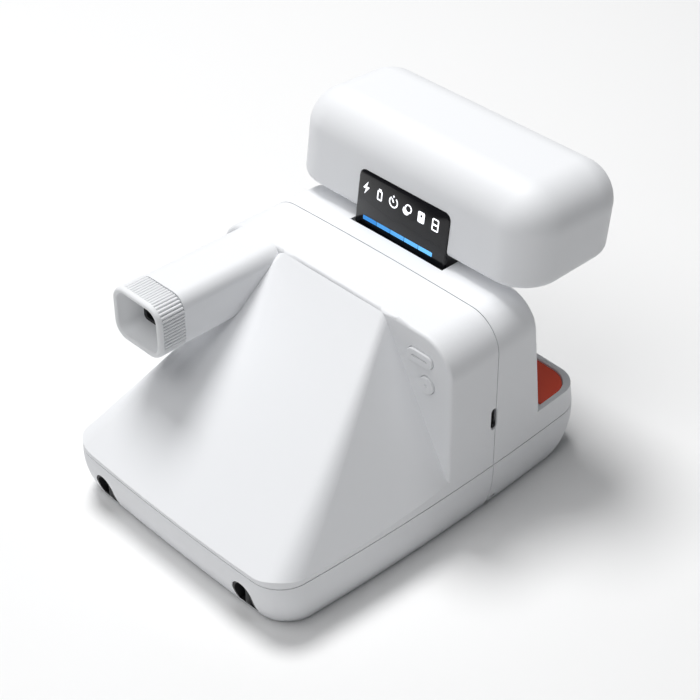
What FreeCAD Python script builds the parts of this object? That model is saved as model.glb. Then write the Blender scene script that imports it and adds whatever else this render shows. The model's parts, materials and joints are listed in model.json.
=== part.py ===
import FreeCAD, Part

import math
import os
from FreeCAD import Vector

# Instant camera: a low film base, a block that carries the lens and the finder, a mirror
# housing that slopes down behind the block, and a lid that flips up above the lens.
# Millimetres. +Z is up, the lens looks along -Y, the finder is on the +X side.
# The origin is on the flat underside, on the mid plane, half way along the base.

# ---- driving dimensions ----
HALF_WIDTH = 55.0        # base, at its widest
REAR_Y = 73.6            # back of the base
FRONT_Y = -73.6          # front of the base at the level joint
SEAM_Z = 19.0            # level joint between upper and lower shells
SEAM_Y = -21.6           # upright joint between front and rear shells
SEAM_GAP = 0.35
SIDE_BOW = 904.0         # radii of the slightly bowed walls
REAR_BOW = 1164.0
FRONT_BOW = 946.0
REAR_CORNER = 12.0
FRONT_CORNER = 15.5
RIM_CORNER = 10.0
WALL = 2.2
TOP_Z = 77.6             # crown of the block
CROWN_BOW = 1500.0
TOP_SIDE_RADIUS = 13.0
BLOCK_REAR_Y = 0.5
BLOCK_FRONT_TOP_Y = -40.1
FRONT_SLOPE = 0.118      # the block's front runs out by this much per mm downwards
LEDGE_Z = 28.7           # rim of the ledge that the closed lid rests above
RIM_Y = -68.9
SIDE_DRAFT = 0.0102
PEAK_X = 24.5            # half width of the mirror housing at its top
SLOPE_TOP_Z = 76.4
SLOPE_END_Z = 20.3
SLOPE_SAG = 1.4          # the slope is slightly hollow
FACET_FOOT_Z = 23.6      # where a side facet meets the block's rear corner
RIDGE_TOP = 3.0          # ridge between slope and facet, at the peak and at the foot
RIDGE_FOOT = 12.0
REAR_EDGE_RADIUS = 1.2
FRONT_EDGE_RADIUS = 2.8

# finder tunnel and eyecup
TUNNEL_X0 = 24.6
TUNNEL_X1 = 48.2
TUNNEL_Z0 = 57.0
TUNNEL_RADIUS = 5.0
EYECUP_Y = 42.0
EYECUP_END_Y = 53.0

# ledge and shutter button
RIM_WIDTH = 2.0
LEDGE_FLOOR_Z = 27.7
LEDGE_UNDER_Z = 26.3
SHUTTER_IN_X = 33.0
SHUTTER_REAR_Y = -48.6
SHUTTER_TRAVEL = 1.2

# rear buttons and charging socket
POWER_X = -41.0
POWER_Z = 67.7
POWER_WIDTH = 11.0
POWER_HEIGHT = 5.0
TIMER_X = -44.2
TIMER_Z = 58.7
TIMER_RADIUS = 3.15
USB_Y = -20.75
USB_Z = 39.1
USB_LENGTH = 8.6
USB_WIDTH = 3.0

# lens, film path and film door
LENS_Z = 47.0
LENS_RADIUS = 6.1
FILM_HALF = 44.25        # half width of the film
FILM_Z = 12.75           # where the film leaves between the rollers
ROLLER_Y = -61.5
ROLLER_RADIUS = 3.3
ROLLER_PITCH = 7.1       # distance between the roller axes
GEAR_MODULE = 0.7
PINION_Z = 22.7
MOTOR_RADIUS = 2.8
DOOR_HINGE_Y = -24.6
DOOR_HINGE_Z = 2.6
DOOR_KNUCKLE = 2.6
DOOR_PIN = 0.8
DOOR_OPEN = 70.0
SWING_GAP = 0.2          # how far the open door's floor stops below the film pack
LUG_X0 = 47.6
LUG_X1 = 50.2
STRAP_X = 35.0
STRAP_Z = 8.0

ROLLER_TEETH = 10
DRIVE_TEETH = 8
LOWER_ROLLER_Z = FILM_Z - ROLLER_PITCH / 2
UPPER_ROLLER_Z = FILM_Z + ROLLER_PITCH / 2
PACK_HALF = 45.5
PACK_Y0 = -56.5
PACK_Y1 = 57.5
PACK_Z0 = 3.0
PACK_Z1 = 14.6
TURRET_X = 12.0
TURRET_Y = -36.0
TURRET_THICK = 2.2
TURRET_TEETH = 48
TURRET_LENS = 3.6
PINION_TEETH = 12
SHUTTER_PLATE_Y = -31.5
BLADE_X = -10.0
BLADE_Z = 58.0
CONE_INSET = 5.5
CONE_FRONT_Y = -20.0
CONE_FOOT_Z = 15.2
MIRROR_LIFT = 0.3
EYE_X = 36.3
EYE_Z = 67.0
SPIGOT_Y = 34.0           # inner end of the eyecup's spigot
FUNNEL_END_Y = 41.0
EYE_LENS_X = 6.4         # half sizes of the eyepiece lens
EYE_LENS_Z = 5.2
EYE_LENS_THICK = 1.6
RIBS_ACROSS = 10
RIBS_DOWN = 8
SWITCH_X = -42.0
SWITCH_Y = -54.0
LATCH_Y = -34.0
LATCH_Z = 25.0
LATCH_FACE_X = 54.6
LATCH_TRAVEL = 2.5

# well for the lid's arm
WELL_HALF = 21.6
WELL_REAR_Y = -28.8
WELL_FLOOR_Z = 67.8

# lid, as it stands when flipped up
HINGE_Y = -34.45
HINGE_Z = 73.37
LID_HALF = 55.4
LID_BACK_Y = -31.2
LID_BOTTOM_Z = 80.8
LID_DEPTH = 48.5
LID_HEIGHT = 30.0
LID_LEAN = 7.0           # degrees that the lid's rear and front faces lean forwards
LID_TOP_FALL = -3.0      # the top rises slightly towards the front
LID_CORNER = 14.5
LID_TOP_RADIUS = 14.0
LID_WALL = 2.0
SONAR_X = 21.0

# arm and display, measured from the hinge in the lid's leaning frame
ARM_HALF = 20.6
ARM_BARREL = 4.7
PIN_RADIUS = 1.5
NECK_FRONT = 4.0
DISPLAY_HALF = 20.8
DISPLAY_FACE = 4.7
DISPLAY_THICK = 1.3
DISPLAY_TOP = 22.6
DISPLAY_CORNER = 2.8
SCREEN_MARGIN = 2.4


def box(x0, x1, y0, y1, z0, z1):
    return Part.makeBox(x1 - x0, y1 - y0, z1 - z0, Vector(x0, y0, z0))


def cyl(radius, length, base, axis):
    return Part.makeCylinder(radius, length, Vector(*base), Vector(*axis))


def prism(points, vector):
    corners = [Vector(*p) for p in points]
    face = Part.Face(Part.makePolygon(corners + corners[:1]))
    return face.extrude(Vector(*vector))


def save(shape, node):
    if shape.ShapeType == "Compound" and len(shape.Solids) == 1:
        shape = shape.Solids[0]
    print(node, "solids", len(shape.Solids), "valid", shape.isValid(), "volume", round(shape.Volume))
    shape.exportStep("parts/" + node + ".step")


# ---- outlines ----
def circle_meet(c1, r1, c2, r2, side):
    """Where two circles cross, on the side whose signs are given."""
    dx = c2[0] - c1[0]
    dy = c2[1] - c1[1]
    gap = math.hypot(dx, dy)
    along = (r1 * r1 - r2 * r2 + gap * gap) / (2 * gap)
    across = math.sqrt(r1 * r1 - along * along)
    px = c1[0] + along * dx / gap
    py = c1[1] + along * dy / gap
    picks = [(px - across * dy / gap, py + across * dx / gap),
             (px + across * dy / gap, py - across * dx / gap)]
    return max(picks, key=lambda p: p[0] * side[0] + p[1] * side[1])


def rounded_plan(z, half_width, rear_y, front_y, rear_radius, front_radius):
    """Closed outline of four bowed walls joined by four corner arcs."""
    def wall_point(centre, corner, radius):
        dx = corner[0] - centre[0]
        dy = corner[1] - centre[1]
        size = math.hypot(dx, dy)
        return (centre[0] + dx / size * radius, centre[1] + dy / size * radius)

    side_centre = (half_width - SIDE_BOW, 0)
    ends = []
    for end_y, bow, radius, sign in ((rear_y, REAR_BOW, rear_radius, 1),
                                     (front_y, FRONT_BOW, front_radius, -1)):
        end_centre = (0, end_y - sign * bow)
        corner = circle_meet(side_centre, SIDE_BOW - radius, end_centre, bow - radius, (1, sign))
        side_touch = wall_point(side_centre, corner, SIDE_BOW)
        end_touch = wall_point(end_centre, corner, bow)
        size = math.hypot(1, 1)
        middle = (corner[0] + radius / size, corner[1] + sign * radius / size)
        ends.append((side_touch, middle, end_touch))
    rear, front = ends

    def at(point, mirror=1):
        return Vector(point[0] * mirror, point[1], z)

    edges = [
        Part.Arc(at(front[0]), Vector(half_width, 0, z), at(rear[0])),
        Part.Arc(at(rear[0]), at(rear[1]), at(rear[2])),
        Part.Arc(at(rear[2]), Vector(0, rear_y, z), at(rear[2], -1)),
        Part.Arc(at(rear[2], -1), at(rear[1], -1), at(rear[0], -1)),
        Part.Arc(at(rear[0], -1), Vector(-half_width, 0, z), at(front[0], -1)),
        Part.Arc(at(front[0], -1), at(front[1], -1), at(front[2], -1)),
        Part.Arc(at(front[2], -1), Vector(0, front_y, z), at(front[2])),
        Part.Arc(at(front[2]), at(front[1]), at(front[0])),
    ]
    return Part.Wire([edge.toShape() for edge in edges])


def plan_at(z, inset, front_y=None, front_radius=FRONT_CORNER, extra=0.0, rear_in=0.0):
    half = HALF_WIDTH - inset - extra
    front = (FRONT_Y if front_y is None else front_y) + inset + extra
    rear_radius = REAR_CORNER - inset
    return rounded_plan(z, half, REAR_Y - inset - rear_in, front, rear_radius, front_radius - inset)


# ---- outer form of the body, drawn inwards by an inset to give its hollow ----
def lower_form(inset):
    """Bowl under the level joint: walls that curve in towards the flat underside."""
    floor = 0.0 if inset == 0 else WALL
    wires = [
        plan_at(floor, inset, extra=3.0, rear_in=5.0),
        plan_at(7.0, inset, extra=0.8, rear_in=1.6),
        plan_at(SEAM_Z, inset),
    ]
    return Part.makeLoft(wires, True, False)


def upper_plan(inset):
    """Column over the base's plan, with its front leaning back to the ledge rim."""
    draft_low = SIDE_DRAFT * (LEDGE_Z - SEAM_Z)
    draft_top = SIDE_DRAFT * (TOP_Z + 4 - SEAM_Z)
    rim_front = RIM_Y - draft_low
    low = Part.makeLoft([
        plan_at(SEAM_Z, inset),
        plan_at(LEDGE_Z, inset, rim_front, RIM_CORNER, draft_low),
    ], True, True)
    high = Part.makeLoft([
        plan_at(LEDGE_Z, inset, rim_front, RIM_CORNER, draft_low),
        plan_at(TOP_Z + 4, inset, rim_front, RIM_CORNER, draft_top),
    ], True, True)
    return low, high


def block_form(inset):
    """Upright block with a crowned top and large rounded shoulders."""
    low, high = upper_plan(inset)
    front_low = BLOCK_FRONT_TOP_Y - FRONT_SLOPE * (TOP_Z - SEAM_Z)
    slope = math.hypot(1, FRONT_SLOPE)
    side = [(0, BLOCK_REAR_Y - inset, SEAM_Z - 1), (0, BLOCK_REAR_Y - inset, TOP_Z + 5),
            (0, BLOCK_FRONT_TOP_Y + FRONT_SLOPE * 5 + inset * slope, TOP_Z + 5),
            (0, front_low - FRONT_SLOPE + inset * slope, SEAM_Z - 1)]
    slab = prism(side, (140, 0, 0))
    slab.translate(Vector(-70, 0, 0))
    crown = cyl(CROWN_BOW, 140, (0, 70, TOP_Z - inset - CROWN_BOW), (0, -1, 0))
    keep = box(-60, 60, -60, 60, SEAM_Z, TOP_Z + 4).common(crown)
    block = high.common(slab).common(keep)
    shoulders = []
    for edge in block.Edges:
        b = edge.BoundBox
        if b.YLength > 20 and b.ZLength < 4 and b.ZMin > TOP_Z - 6 - inset and abs(b.Center.x) > 40:
            shoulders.append(edge)
    block = block.makeFillet(TOP_SIDE_RADIUS - inset, shoulders)
    return block.fuse(low.common(slab))


def facet_wedge(inset):
    """Hollow slope behind the block, cut by a flat facet on each side."""
    dy = REAR_Y - BLOCK_REAR_Y
    dz = SLOPE_END_Z - SLOPE_TOP_Z
    chord = math.hypot(dy, dz)
    normal = (-dz / chord, dy / chord)
    radius = chord * chord / (8 * SLOPE_SAG) + inset
    reach = radius - SLOPE_SAG - inset
    centre = ((REAR_Y + BLOCK_REAR_Y) / 2 + normal[0] * reach,
              (SLOPE_TOP_Z + SLOPE_END_Z) / 2 + normal[1] * reach)
    front = BLOCK_REAR_Y - 1.0 if inset == 0 else BLOCK_REAR_Y - 12
    wedge = box(-70, 70, front, REAR_Y + 14, SEAM_Z - 9, TOP_Z - inset)
    wedge = wedge.cut(cyl(radius, 160, (-80, centre[0], centre[1]), (1, 0, 0)))
    peak = Vector(PEAK_X, BLOCK_REAR_Y, SLOPE_TOP_Z)
    foot = Vector(HALF_WIDTH, BLOCK_REAR_Y, FACET_FOOT_Z)
    tail = Vector(HALF_WIDTH - 2, REAR_Y, SEAM_Z + 0.6)
    out = (foot - peak).cross(tail - peak).normalize()
    if out.z < 0:
        out = out * -1
    for mirror in (1, -1):
        face_out = Vector(out.x * mirror, out.y, out.z)
        base = Vector(peak.x * mirror, peak.y, peak.z) - face_out * inset
        sheet = Part.makePlane(400, 400, Vector(0, 0, 0), Vector(0, 0, 1))
        sheet.translate(Vector(-200, -200, 0))
        slab = sheet.extrude(Vector(0, 0, 200))
        slab.Placement = FreeCAD.Placement(base, FreeCAD.Rotation(Vector(0, 0, 1), face_out))
        wedge = wedge.cut(slab)
    return wedge


def ridge_edges(wedge):
    """The two long edges between the slope and its side facets."""
    found = []
    for edge in wedge.Edges:
        b = edge.BoundBox
        if b.ZLength > 30 and b.YLength > 40 and b.XLength > 15:
            found.append(edge)
    return found


def tunnel_form(inset, y_end):
    """Finder tunnel, flush with the block's crown and running back over the slope."""
    body = box(TUNNEL_X0 + inset, TUNNEL_X1 - inset, -8, y_end, TUNNEL_Z0 + inset, TOP_Z + 2)
    crown = cyl(CROWN_BOW, 140, (0, 90, TOP_Z - inset - CROWN_BOW), (0, -1, 0))
    body = body.common(crown)
    long_edges = [edge for edge in body.Edges if edge.BoundBox.YLength > 20]
    top_outer = [e for e in long_edges if e.BoundBox.Center.x > 40 and e.BoundBox.Center.z > 70]
    others = [e for e in long_edges if not (e.BoundBox.Center.x > 40 and e.BoundBox.Center.z > 70)]
    body = body.makeFillet(TUNNEL_RADIUS - inset, others)
    top_outer = [e for e in body.Edges if e.BoundBox.YLength > 20
                 and e.BoundBox.Center.x > TUNNEL_X1 - inset - 0.5 and e.BoundBox.Center.z > 70]
    return body.makeFillet(TUNNEL_RADIUS + 2 - inset, top_outer[:1])


def soften_ridges(wedge):
    """Ridge radius grows from the peak towards the foot of the slope."""
    for side in (1, -1):
        edge = [e for e in ridge_edges(wedge) if e.BoundBox.Center.x * side > 0][0]
        starts_high = edge.firstVertex(True).Point.z > edge.lastVertex(True).Point.z
        radii = (RIDGE_TOP, RIDGE_FOOT) if starts_high else (RIDGE_FOOT, RIDGE_TOP)
        wedge = wedge.makeFillet(radii[0], radii[1], [edge])
    return wedge


def upper_form(inset):
    """The whole upper body: low band, block, mirror housing and finder tunnel."""
    low, high = upper_plan(inset)
    wedge = facet_wedge(inset)
    block = block_form(inset)
    if inset == 0:
        wedge = soften_ridges(wedge)
        rear = [e for e in block.Edges if abs(e.BoundBox.YMin - BLOCK_REAR_Y) < 0.01
                and abs(e.BoundBox.YMax - BLOCK_REAR_Y) < 0.01 and e.BoundBox.XLength > 60
                and e.BoundBox.ZMin > TOP_Z - 2]
        block = block.makeFillet(REAR_EDGE_RADIUS, rear)
        front = [e for e in block.Edges if e.BoundBox.XLength > 60 and e.BoundBox.ZMin > TOP_Z - 3
                 and e.BoundBox.YMax < BLOCK_FRONT_TOP_Y + 1]
        block = block.makeFillet(FRONT_EDGE_RADIUS, front)
    chin = low.common(box(-60, 60, -80, -30, SEAM_Z - 1, LEDGE_Z))
    housing = wedge.common(high.fuse(low))
    body = block.fuse([housing, chin, tunnel_form(inset, EYECUP_Y + (0 if inset == 0 else 3))])
    return body.removeSplitter()


def below_level_joint():
    return box(-80, 80, -100, 100, -5, SEAM_Z - SEAM_GAP / 2)


def above_level_joint():
    return box(-80, 80, -100, 100, SEAM_Z + SEAM_GAP / 2, 140)


def behind_upright_joint():
    return box(-80, 80, SEAM_Y + SEAM_GAP / 2, 100, -5, 140)


def ahead_of_upright_joint():
    return box(-80, 80, -120, SEAM_Y - SEAM_GAP / 2, -5, 140)


def block_front_y(z):
    return BLOCK_FRONT_TOP_Y - FRONT_SLOPE * (TOP_Z - z)


def rounded_slab(x0, x1, z0, z1, radius, y0, y1):
    """Upright slab with rounded corners, seen along Y."""
    slab = box(x0, x1, y0, y1, z0, z1)
    edges = [e for e in slab.Edges if e.BoundBox.YLength > 0.9 * (y1 - y0) and e.BoundBox.XLength < 0.1
             and e.BoundBox.ZLength < 0.1]
    return slab.makeFillet(radius, edges)


def on_block_front(shape):
    """Tilt a shape drawn upright, with y = 0 on the surface, onto the block's sloping front."""
    shape = shape.copy()
    lean = -math.degrees(math.atan(FRONT_SLOPE))
    shape.translate(Vector(0, block_front_y(LENS_Z), 0))
    shape.rotate(Vector(0, block_front_y(LENS_Z), LENS_Z), Vector(1, 0, 0), lean)
    return shape


def on_lid_front(shape):
    """Tilt a shape drawn upright, with y = 0 on the surface, onto the lid's front face."""
    shape = shape.copy()
    front = LID_BACK_Y - LID_DEPTH
    shape.translate(Vector(0, front, 0))
    shape.rotate(Vector(0, front, LID_BOTTOM_Z), Vector(1, 0, 0), LID_LEAN)
    return shape


def on_hinge(shape):
    """Move a shape drawn about the X axis to the lid's hinge, leaning with the lid."""
    shape = shape.copy()
    shape.rotate(Vector(0, 0, 0), Vector(1, 0, 0), LID_LEAN)
    shape.translate(Vector(0, HINGE_Y, HINGE_Z))
    return shape


def gear(teeth, x0, x1, y, z, turn):
    """Spur gear about an X axis, with the backlash of a small plastic train."""
    pitch_radius = GEAR_MODULE * teeth / 2
    root = pitch_radius - 1.1 * GEAR_MODULE
    tip = pitch_radius + 0.8 * GEAR_MODULE
    step = 2 * math.pi / teeth
    points = []
    for i in range(teeth):
        middle = math.radians(turn) + i * step
        for radius, share in ((root, -0.30), (tip, -0.11), (tip, 0.11), (root, 0.30)):
            angle = middle + share * step
            points.append((x0, y + radius * math.cos(angle), z + radius * math.sin(angle)))
    return prism(points, (x1 - x0, 0, 0))


# ---- shells ----
def film_door_shell(hull, hollow):
    shell = hull.cut(hollow).common(below_level_joint()).common(ahead_of_upright_joint())
    corner = box(-60, 60, DOOR_HINGE_Y, SEAM_Y + 1, -1, DOOR_HINGE_Z)
    corner = corner.cut(cyl(DOOR_KNUCKLE, 120, (-60, DOOR_HINGE_Y, DOOR_HINGE_Z), (1, 0, 0)))
    shell = shell.cut(corner)
    relief = box(-PACK_HALF - 0.8, PACK_HALF + 0.8, SWING_GAP, 8, -8, 8)
    relief.rotate(Vector(0, 0, 0), Vector(1, 0, 0), 90 - DOOR_OPEN)
    relief.translate(Vector(0, DOOR_HINGE_Y, DOOR_HINGE_Z))
    shell = shell.cut(relief)
    slot = box(-FILM_HALF - 1, FILM_HALF + 1, -80, -66, FILM_Z - 1.2, FILM_Z + 1.2)
    shell = shell.cut(slot)
    for side in (1, -1):
        lug = sorted((side * LUG_X0, side * LUG_X1))
        room = box(lug[0] - 0.3, lug[1] + 0.3, DOOR_HINGE_Y - 2.8, SEAM_Y + 1, -1, DOOR_HINGE_Z + 2.8)
        shell = shell.cut(room)
        for x0, x1 in ((LUG_X0 - 1.8, LUG_X0 - 0.3), (LUG_X1 + 0.3, LUG_X1 + 1.8)):
            base = min(side * x0, side * x1)
            boss = cyl(DOOR_KNUCKLE - 0.1, x1 - x0, (base, DOOR_HINGE_Y, DOOR_HINGE_Z), (1, 0, 0))
            shell = shell.fuse(boss.common(hull))
        bore = cyl(DOOR_PIN + 0.05, 14, (side * 49 - 7, DOOR_HINGE_Y, DOOR_HINGE_Z), (1, 0, 0))
        shell = shell.cut(bore)
    return shell.removeSplitter()


def strap_pocket(side, inset):
    """Arched pocket in the rear lower wall, scooped out towards the underside."""
    half = 4.6 - inset
    x = side * STRAP_X
    arch = cyl(half, 16, (x, 65 + inset, STRAP_Z + 1.5), (0, 1, 0))
    legs = box(x - half, x + half, 65 + inset, 81, 2.6 + inset, STRAP_Z + 1.5)
    return arch.fuse(legs).removeSplitter()


def screw_places():
    return [(side * x, y) for side in (1, -1) for x, y in ((49.9, -12.0), (40.0, 61.2))]


def rear_lower_shell(hull, hollow):
    shell = hull.cut(hollow).common(below_level_joint()).common(behind_upright_joint())
    for side in (1, -1):
        lug = sorted((side * LUG_X0, side * LUG_X1))
        arm = box(lug[0], lug[1], DOOR_HINGE_Y, SEAM_Y + 1.5, DOOR_HINGE_Z - 2, DOOR_HINGE_Z + 2)
        arm = arm.fuse(cyl(2, lug[1] - lug[0], (lug[0], DOOR_HINGE_Y, DOOR_HINGE_Z), (1, 0, 0)))
        arm = arm.cut(cyl(DOOR_PIN, 14, (side * 49 - 7, DOOR_HINGE_Y, DOOR_HINGE_Z), (1, 0, 0)))
        shell = shell.fuse(arm)
        backing = box(side * STRAP_X - 6.2, side * STRAP_X + 6.2, 63.5, 76, 1, STRAP_Z + 7.5)
        shell = shell.fuse(backing.common(hull))
        shell = shell.cut(strap_pocket(side, 0))
    for x, y in screw_places():
        shell = shell.fuse(cyl(2.6, SEAM_Z - 1.5, (x, y, 1.0), (0, 0, 1)))
        shell = shell.cut(cyl(2.1, 1.95, (x, y, -0.1), (0, 0, 1)))
        shell = shell.cut(cyl(1.2, 30, (x, y, 0), (0, 0, 1)))
    return shell.removeSplitter()


def usb_slot(depth, grow):
    """Rounded slot in the -X side, upright, for the charging socket."""
    half = USB_WIDTH / 2 + grow
    x0 = -60
    low = USB_Z - (USB_LENGTH / 2 - USB_WIDTH / 2)
    high = USB_Z + (USB_LENGTH / 2 - USB_WIDTH / 2)
    shape = box(x0, x0 + depth, USB_Y - half, USB_Y + half, low, high)
    for z in (low, high):
        shape = shape.fuse(cyl(half, depth, (x0, USB_Y, z), (1, 0, 0)))
    return shape.removeSplitter()


def button_holes(grow):
    """Pill and round holes in the block's rear face."""
    half = POWER_HEIGHT / 2 + grow
    reach = POWER_WIDTH / 2 - POWER_HEIGHT / 2
    y0 = BLOCK_REAR_Y - WALL - 2
    pill = box(POWER_X - reach, POWER_X + reach, y0, 4, POWER_Z - half, POWER_Z + half)
    for x in (POWER_X - reach, POWER_X + reach):
        pill = pill.fuse(cyl(half, 4 - y0, (x, y0, POWER_Z), (0, 1, 0)))
    disc = cyl(TIMER_RADIUS + grow, 4 - y0, (TIMER_X, y0, TIMER_Z), (0, 1, 0))
    return pill.removeSplitter(), disc


def rear_upper_shell(outer, hollow):
    shell = outer.cut(hollow).common(above_level_joint()).common(behind_upright_joint())
    for x, y in screw_places():
        post = cyl(3.1, 6.5, (x, y, SEAM_Z + SEAM_GAP), (0, 0, 1)).common(outer)
        shell = shell.fuse(post)
        shell = shell.cut(cyl(0.95, 5.5, (x, y, SEAM_Z), (0, 0, 1)))
    pill, disc = button_holes(0.2)
    shell = shell.cut(pill).cut(disc)
    shell = shell.cut(usb_slot(12, 0.1))
    return shell.removeSplitter()


def ledge_recess(front_plan_top):
    """Tray sunk inside the rim of the front ledge."""
    wires = [plan_at(z, 0, RIM_Y, RIM_CORNER, RIM_WIDTH) for z in (LEDGE_FLOOR_Z, front_plan_top)]
    tray = Part.makeLoft(wires, True, True)
    limit = block_front_y(LEDGE_FLOOR_Z)
    return tray.common(box(-60, 60, -90, limit, LEDGE_FLOOR_Z, front_plan_top))


def shutter_outline(grow, z0, z1):
    """Plan of the shutter button, which fills the ledge's front corner on the -X side."""
    body = box(-60, -SHUTTER_IN_X + grow, -80, SHUTTER_REAR_Y + grow, z0, z1)
    inner_corner = [e for e in body.Edges if e.BoundBox.ZLength > 0.5
                    and e.BoundBox.XMin > -SHUTTER_IN_X + grow - 0.1 and e.BoundBox.YMin > SHUTTER_REAR_Y + grow - 0.1]
    body = body.makeFillet(2.0, inner_corner)
    edge = RIM_WIDTH + 0.2 - grow
    plan = Part.makeLoft([plan_at(z, 0, RIM_Y, RIM_CORNER, edge) for z in (z0 - 1, z1 + 1)], True, True)
    return body.common(plan)


def front_upper_shell(outer, hollow):
    chin_top = box(-60, 60, -90, block_front_y(LEDGE_Z) + WALL, LEDGE_UNDER_Z, LEDGE_Z + 1)
    shell = outer.cut(hollow.cut(chin_top))
    shell = shell.common(above_level_joint()).common(ahead_of_upright_joint())
    shell = shell.cut(ledge_recess(LEDGE_Z + 3))
    shell = shell.cut(shutter_outline(0.2, LEDGE_UNDER_Z - SHUTTER_TRAVEL - 0.6, LEDGE_Z + 2))
    shell = shell.cut(box(-WELL_HALF, WELL_HALF, -60, WELL_REAR_Y, WELL_FLOOR_Z - 1.2, 90))
    shell = shell.cut(on_block_front(rounded_slab(-30, 30, 31.5, 63.5, 7, -3, 1.4)))
    shell = shell.cut(on_block_front(cyl(13.5, 8, (0, -1, LENS_Z), (0, 1, 0))))
    shell = shell.cut(on_block_front(rounded_slab(29.0, 44.0, 61.0, 72.0, 2.5, -3, 1.2)))
    shell = shell.cut(on_block_front(rounded_slab(30.2, 42.8, 62.2, 70.8, 1.5, -3, 6)))
    shell = shell.cut(on_block_front(cyl(2.6, 8, (-37, -2, 66), (0, 1, 0))))
    shell = shell.cut(usb_slot(12, 0.1))
    shell = shell.cut(box(LATCH_FACE_X - 1.45, 60, LATCH_Y - 4.3, LATCH_Y + LATCH_TRAVEL + 4.3,
                          LATCH_Z - 2.8, LATCH_Z + 2.8))
    shell = shell.cut(box(45, 60, LATCH_Y - 1.8, LATCH_Y + LATCH_TRAVEL + 1.8, LATCH_Z - 1.2, LATCH_Z + 1.2))
    saddle = box(18, 38, ROLLER_Y - 2, ROLLER_Y + 2, PINION_Z + MOTOR_RADIUS, LEDGE_UNDER_Z + 0.1)
    shell = shell.fuse(saddle)
    return shell.removeSplitter()


# ---- finder ----
def eyecup():
    """Rubber cup with fine lengthwise ribs and a funnel down to the eyepiece."""
    x0 = TUNNEL_X0 - 0.5
    x1 = TUNNEL_X1 + 0.2
    z0 = TUNNEL_Z0 - 0.5
    z1 = TOP_Z - 0.6
    cup = rounded_slab(x0, x1, z0, z1, 6.0, EYECUP_Y + 0.2, EYECUP_END_Y)
    lip = [e for e in cup.Edges if e.BoundBox.YMin > EYECUP_END_Y - 0.1]
    cup = cup.makeFillet(1.4, lip)
    grooves = []
    length = EYECUP_END_Y - EYECUP_Y - 4.0
    y0 = EYECUP_Y + 0.9
    for i in range(RIBS_ACROSS):
        x = x0 + 6.0 + (x1 - x0 - 12.0) * i / (RIBS_ACROSS - 1)
        for z in (z0, z1):
            grooves.append(box(x - 0.35, x + 0.35, y0, y0 + length, z - 0.4, z + 0.4))
    for i in range(RIBS_DOWN):
        z = z0 + 6.0 + (z1 - z0 - 12.0) * i / (RIBS_DOWN - 1)
        for x in (x0, x1):
            grooves.append(box(x - 0.4, x + 0.4, y0, y0 + length, z - 0.35, z + 0.35))
    cup = cup.cut(grooves)
    spigot = rounded_slab(TUNNEL_X0 + WALL + 0.1, TUNNEL_X1 - WALL - 0.1, TUNNEL_Z0 + WALL + 0.1,
                          TOP_Z - WALL - 1.0, 4.9, SPIGOT_Y, EYECUP_Y + 0.5)
    cup = cup.fuse(spigot)
    mouth = rectangle_wire(EYE_X, EYE_Z, 9.0, 7.4, EYECUP_END_Y + 0.1)
    throat = rectangle_wire(EYE_X, EYE_Z, 5.6, 4.4, FUNNEL_END_Y - 0.1)
    seat = rounded_slab(EYE_X - EYE_LENS_X - 0.1, EYE_X + EYE_LENS_X + 0.1, EYE_Z - EYE_LENS_Z - 0.1,
                        EYE_Z + EYE_LENS_Z + 0.1, 1.1, SPIGOT_Y - 1, FUNNEL_END_Y)
    return cup.cut(Part.makeLoft([mouth, throat], True, True)).cut(seat)


def rectangle_wire(x, z, half_x, half_z, y):
    corners = [(x - half_x, y, z - half_z), (x + half_x, y, z - half_z),
               (x + half_x, y, z + half_z), (x - half_x, y, z + half_z)]
    points = [Vector(*c) for c in corners]
    return Part.makePolygon(points + points[:1])


def eyepiece_lens():
    """Lens seated in the eyecup's spigot, against the step at the end of the funnel."""
    return rounded_slab(EYE_X - EYE_LENS_X, EYE_X + EYE_LENS_X, EYE_Z - EYE_LENS_Z, EYE_Z + EYE_LENS_Z,
                        1.0, FUNNEL_END_Y - EYE_LENS_THICK, FUNNEL_END_Y)


def finder_window():
    return on_block_front(rounded_slab(29.1, 43.9, 61.1, 71.9, 2.4, 0, 1.2))


def finder_objective():
    lens = rounded_slab(30.5, 42.5, 62.5, 70.5, 1.2, 3.0, 5.0)
    return on_block_front(lens)


# ---- lens ----
def lens_panel():
    plate = rounded_slab(-29.9, 29.9, 31.6, 63.4, 6.9, 0.0, 1.4)
    plate = plate.cut(cyl(10.0, 8, (0, -3, LENS_Z), (0, 1, 0)))
    return on_block_front(plate)


def lens_ring():
    ring = cyl(13.0, 1.0, (0, -0.5, LENS_Z), (0, 1, 0)).fuse(cyl(9.9, 4.6, (0, -0.5, LENS_Z), (0, 1, 0)))
    ring = ring.common(box(-14, 14, -0.5, 0, 30, 64).fuse(cyl(9.9, 9, (0, -1, LENS_Z), (0, 1, 0))))
    ring = ring.cut(Part.makeCone(8.6, LENS_RADIUS, 3.4, Vector(0, -1, LENS_Z), Vector(0, 1, 0)))
    ring = ring.cut(cyl(LENS_RADIUS, 4, (0, 2.2, LENS_Z), (0, 1, 0)))
    return on_block_front(ring)


def front_lens():
    """Element behind the ring, domed towards the front and flat behind."""
    blank = cyl(LENS_RADIUS, 2.2, (0, 2.6, LENS_Z), (0, 1, 0))
    return on_block_front(blank.common(Part.makeSphere(18, Vector(0, 20.7, LENS_Z))))


def light_sensor():
    return on_block_front(cyl(2.5, 3.0, (-37, 0.1, 66), (0, 1, 0)))


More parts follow.
